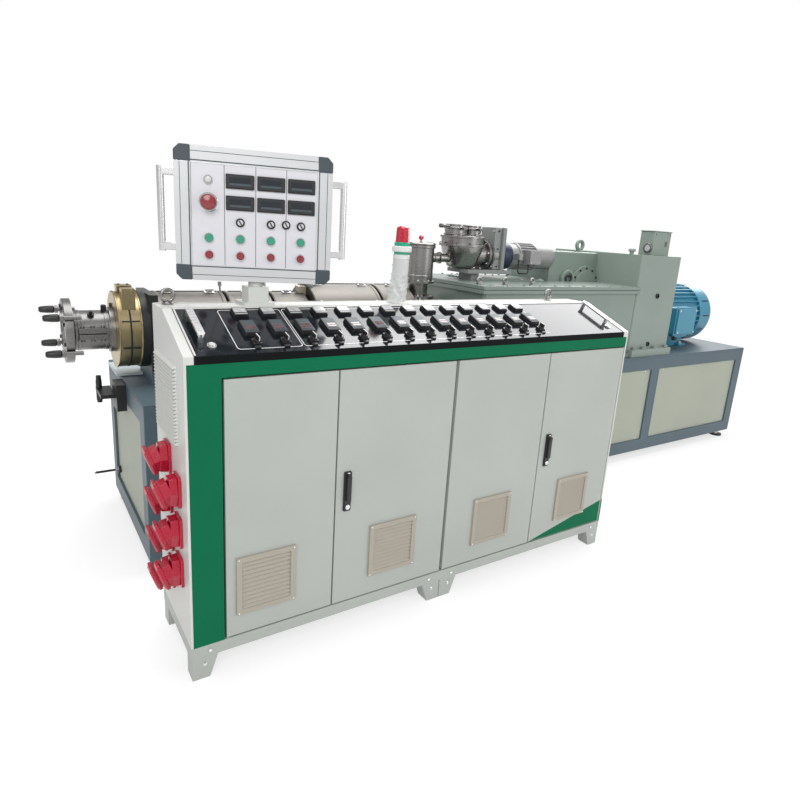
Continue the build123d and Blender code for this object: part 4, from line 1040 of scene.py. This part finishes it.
def floor():
    """Pale paper that keeps the machine's shadow and turns to plain white away from it."""
    size, fade_start, fade_end = 60, 3.4, 6.0
    paper = bpy.data.materials.new("floor_paper")
    paper.use_nodes = True
    nodes, links = paper.node_tree.nodes, paper.node_tree.links
    nodes.remove(nodes["Principled BSDF"])
    lit = nodes.new("ShaderNodeAddShader")
    links.new(flat_colour(nodes, "ShaderNodeBsdfDiffuse", 0.42).outputs[0], lit.inputs[0])
    links.new(flat_colour(nodes, "ShaderNodeEmission", 0.66).outputs[0], lit.inputs[1])
    geometry = nodes.new("ShaderNodeNewGeometry")
    distance = nodes.new("ShaderNodeVectorMath")
    distance.operation = "LENGTH"
    links.new(geometry.outputs["Position"], distance.inputs[0])
    fade = nodes.new("ShaderNodeMapRange")
    fade.inputs["From Min"].default_value = fade_start
    fade.inputs["From Max"].default_value = fade_end
    links.new(distance.outputs["Value"], fade.inputs["Value"])
    white = flat_colour(nodes, "ShaderNodeEmission", 1.0)
    seen = mixed(nodes, links, fade.outputs["Result"], lit, white)
    rays = nodes.new("ShaderNodeLightPath").outputs
    through = either(nodes, links, rays["Is Transmission Ray"], rays["Is Glossy Ray"])
    direct = either(nodes, links, rays["Is Camera Ray"], through)
    bounce = flat_colour(nodes, "ShaderNodeBsdfDiffuse", 0.72)
    mix = mixed(nodes, links, direct, bounce, seen)
    links.new(mix.outputs[0], nodes["Material Output"].inputs["Surface"])
    bpy.ops.mesh.primitive_plane_add(size=1, location=(0, 0, 0))
    item = bpy.context.object
    item.name = "floor"
    item.scale = (size, size, 1)
    item.data.materials.append(paper)


def studio_world():
    """White to the eye and through glass, half as bright for light and reflections."""
    world = bpy.data.worlds.new("studio")
    bpy.context.scene.world = world
    world.use_nodes = True
    nodes, links = world.node_tree.nodes, world.node_tree.links
    dim = nodes["Background"]
    dim.inputs["Color"].default_value = (1, 1, 1, 1)
    dim.inputs["Strength"].default_value = 0.5
    white = flat_colour(nodes, "ShaderNodeBackground", 1.0)
    rays = nodes.new("ShaderNodeLightPath").outputs
    direct = either(nodes, links, rays["Is Camera Ray"], rays["Is Transmission Ray"])
    mix = mixed(nodes, links, direct, dim, white)
    links.new(mix.outputs[0], nodes["World Output"].inputs["Surface"])


def area_light(name, spot, target, size, power, depth=None):
    lamp = bpy.data.lights.new(name, "AREA")
    lamp.energy = power
    lamp.shape = "RECTANGLE"
    lamp.size = size
    lamp.size_y = depth or size
    item = new_object(name, lamp)
    item.location = spot
    item.rotation_euler = (Vector(target) - Vector(spot)).to_track_quat("-Z", "Y").to_euler()


def lights():
    area_light("key", (-4.5, -5.5, 4.6), (-0.8, 0, 0.8), 3.5, 210)
    area_light("fill", (3.5, -6.5, 3.2), (0.8, 0, 0.7), 3.5, 120)
    area_light("top", (0, 0.6, 5.2), (0, 0.2, 0), 6, 190, 3)
    area_light("back", (1.5, 6, 4), (0, 0, 0.8), 4, 100)


def window():
    """Tall bright window behind the machine, seen only in the gloss of the console and metal."""
    light = bpy.data.materials.new("window_light")
    light.use_nodes = True
    nodes, links = light.node_tree.nodes, light.node_tree.links
    nodes.remove(nodes["Principled BSDF"])
    glow = flat_colour(nodes, "ShaderNodeEmission", 5.0)
    links.new(glow.outputs[0], nodes["Material Output"].inputs["Surface"])
    start, end = CORNER + Vector((3.13, 3.22, 5.55)), CORNER + Vector((6.75, 2.23, 4.14))
    sight = Vector((0.654, 0.434, 0.62))
    across = (end - start).normalized()
    facing = -(sight - across * sight.dot(across)).normalized()
    up = facing.cross(across)
    margin, near_margin, reach = 2, 0.05, 2
    near, far = start - across * near_margin, end + across * margin
    pane = [near - up * reach, far - up * reach, far + up * reach, near + up * reach]
    mesh = bpy.data.meshes.new("window")
    item = new_object("window", mesh)
    mesh.from_pydata([list(point) for point in pane], [], [(0, 1, 2, 3)])
    mesh.materials.append(light)
    item.visible_camera = False
    item.visible_diffuse = False
    item.visible_shadow = False
    item.visible_transmission = False


def camera():
    """The photograph's camera: its focal length and centre in pixels, its place in millimetres."""
    picture, focal, centre_x, centre_y, sensor = 800, 597.68, 403.56, 385.85, 36
    view = bpy.data.cameras.new("camera")
    view.sensor_width = sensor
    view.lens = sensor * focal / picture
    view.shift_x = -(centre_x - picture / 2) / picture
    view.shift_y = -(picture / 2 - centre_y) / picture
    item = new_object("camera", view)
    across = Vector((0.8333, -0.5492, 0.0634))
    up = Vector((0.0857, 0.2417, 0.9666))
    forward = Vector((0.5462, 0.8001, -0.2484))
    item.matrix_world = basis(place(-408.5, -1707.8, 1465.2), across, up, -forward)
    bpy.context.scene.camera = item


floor()
studio_world()
lights()
window()
camera()
bpy.context.scene.view_settings.view_transform = "Standard"
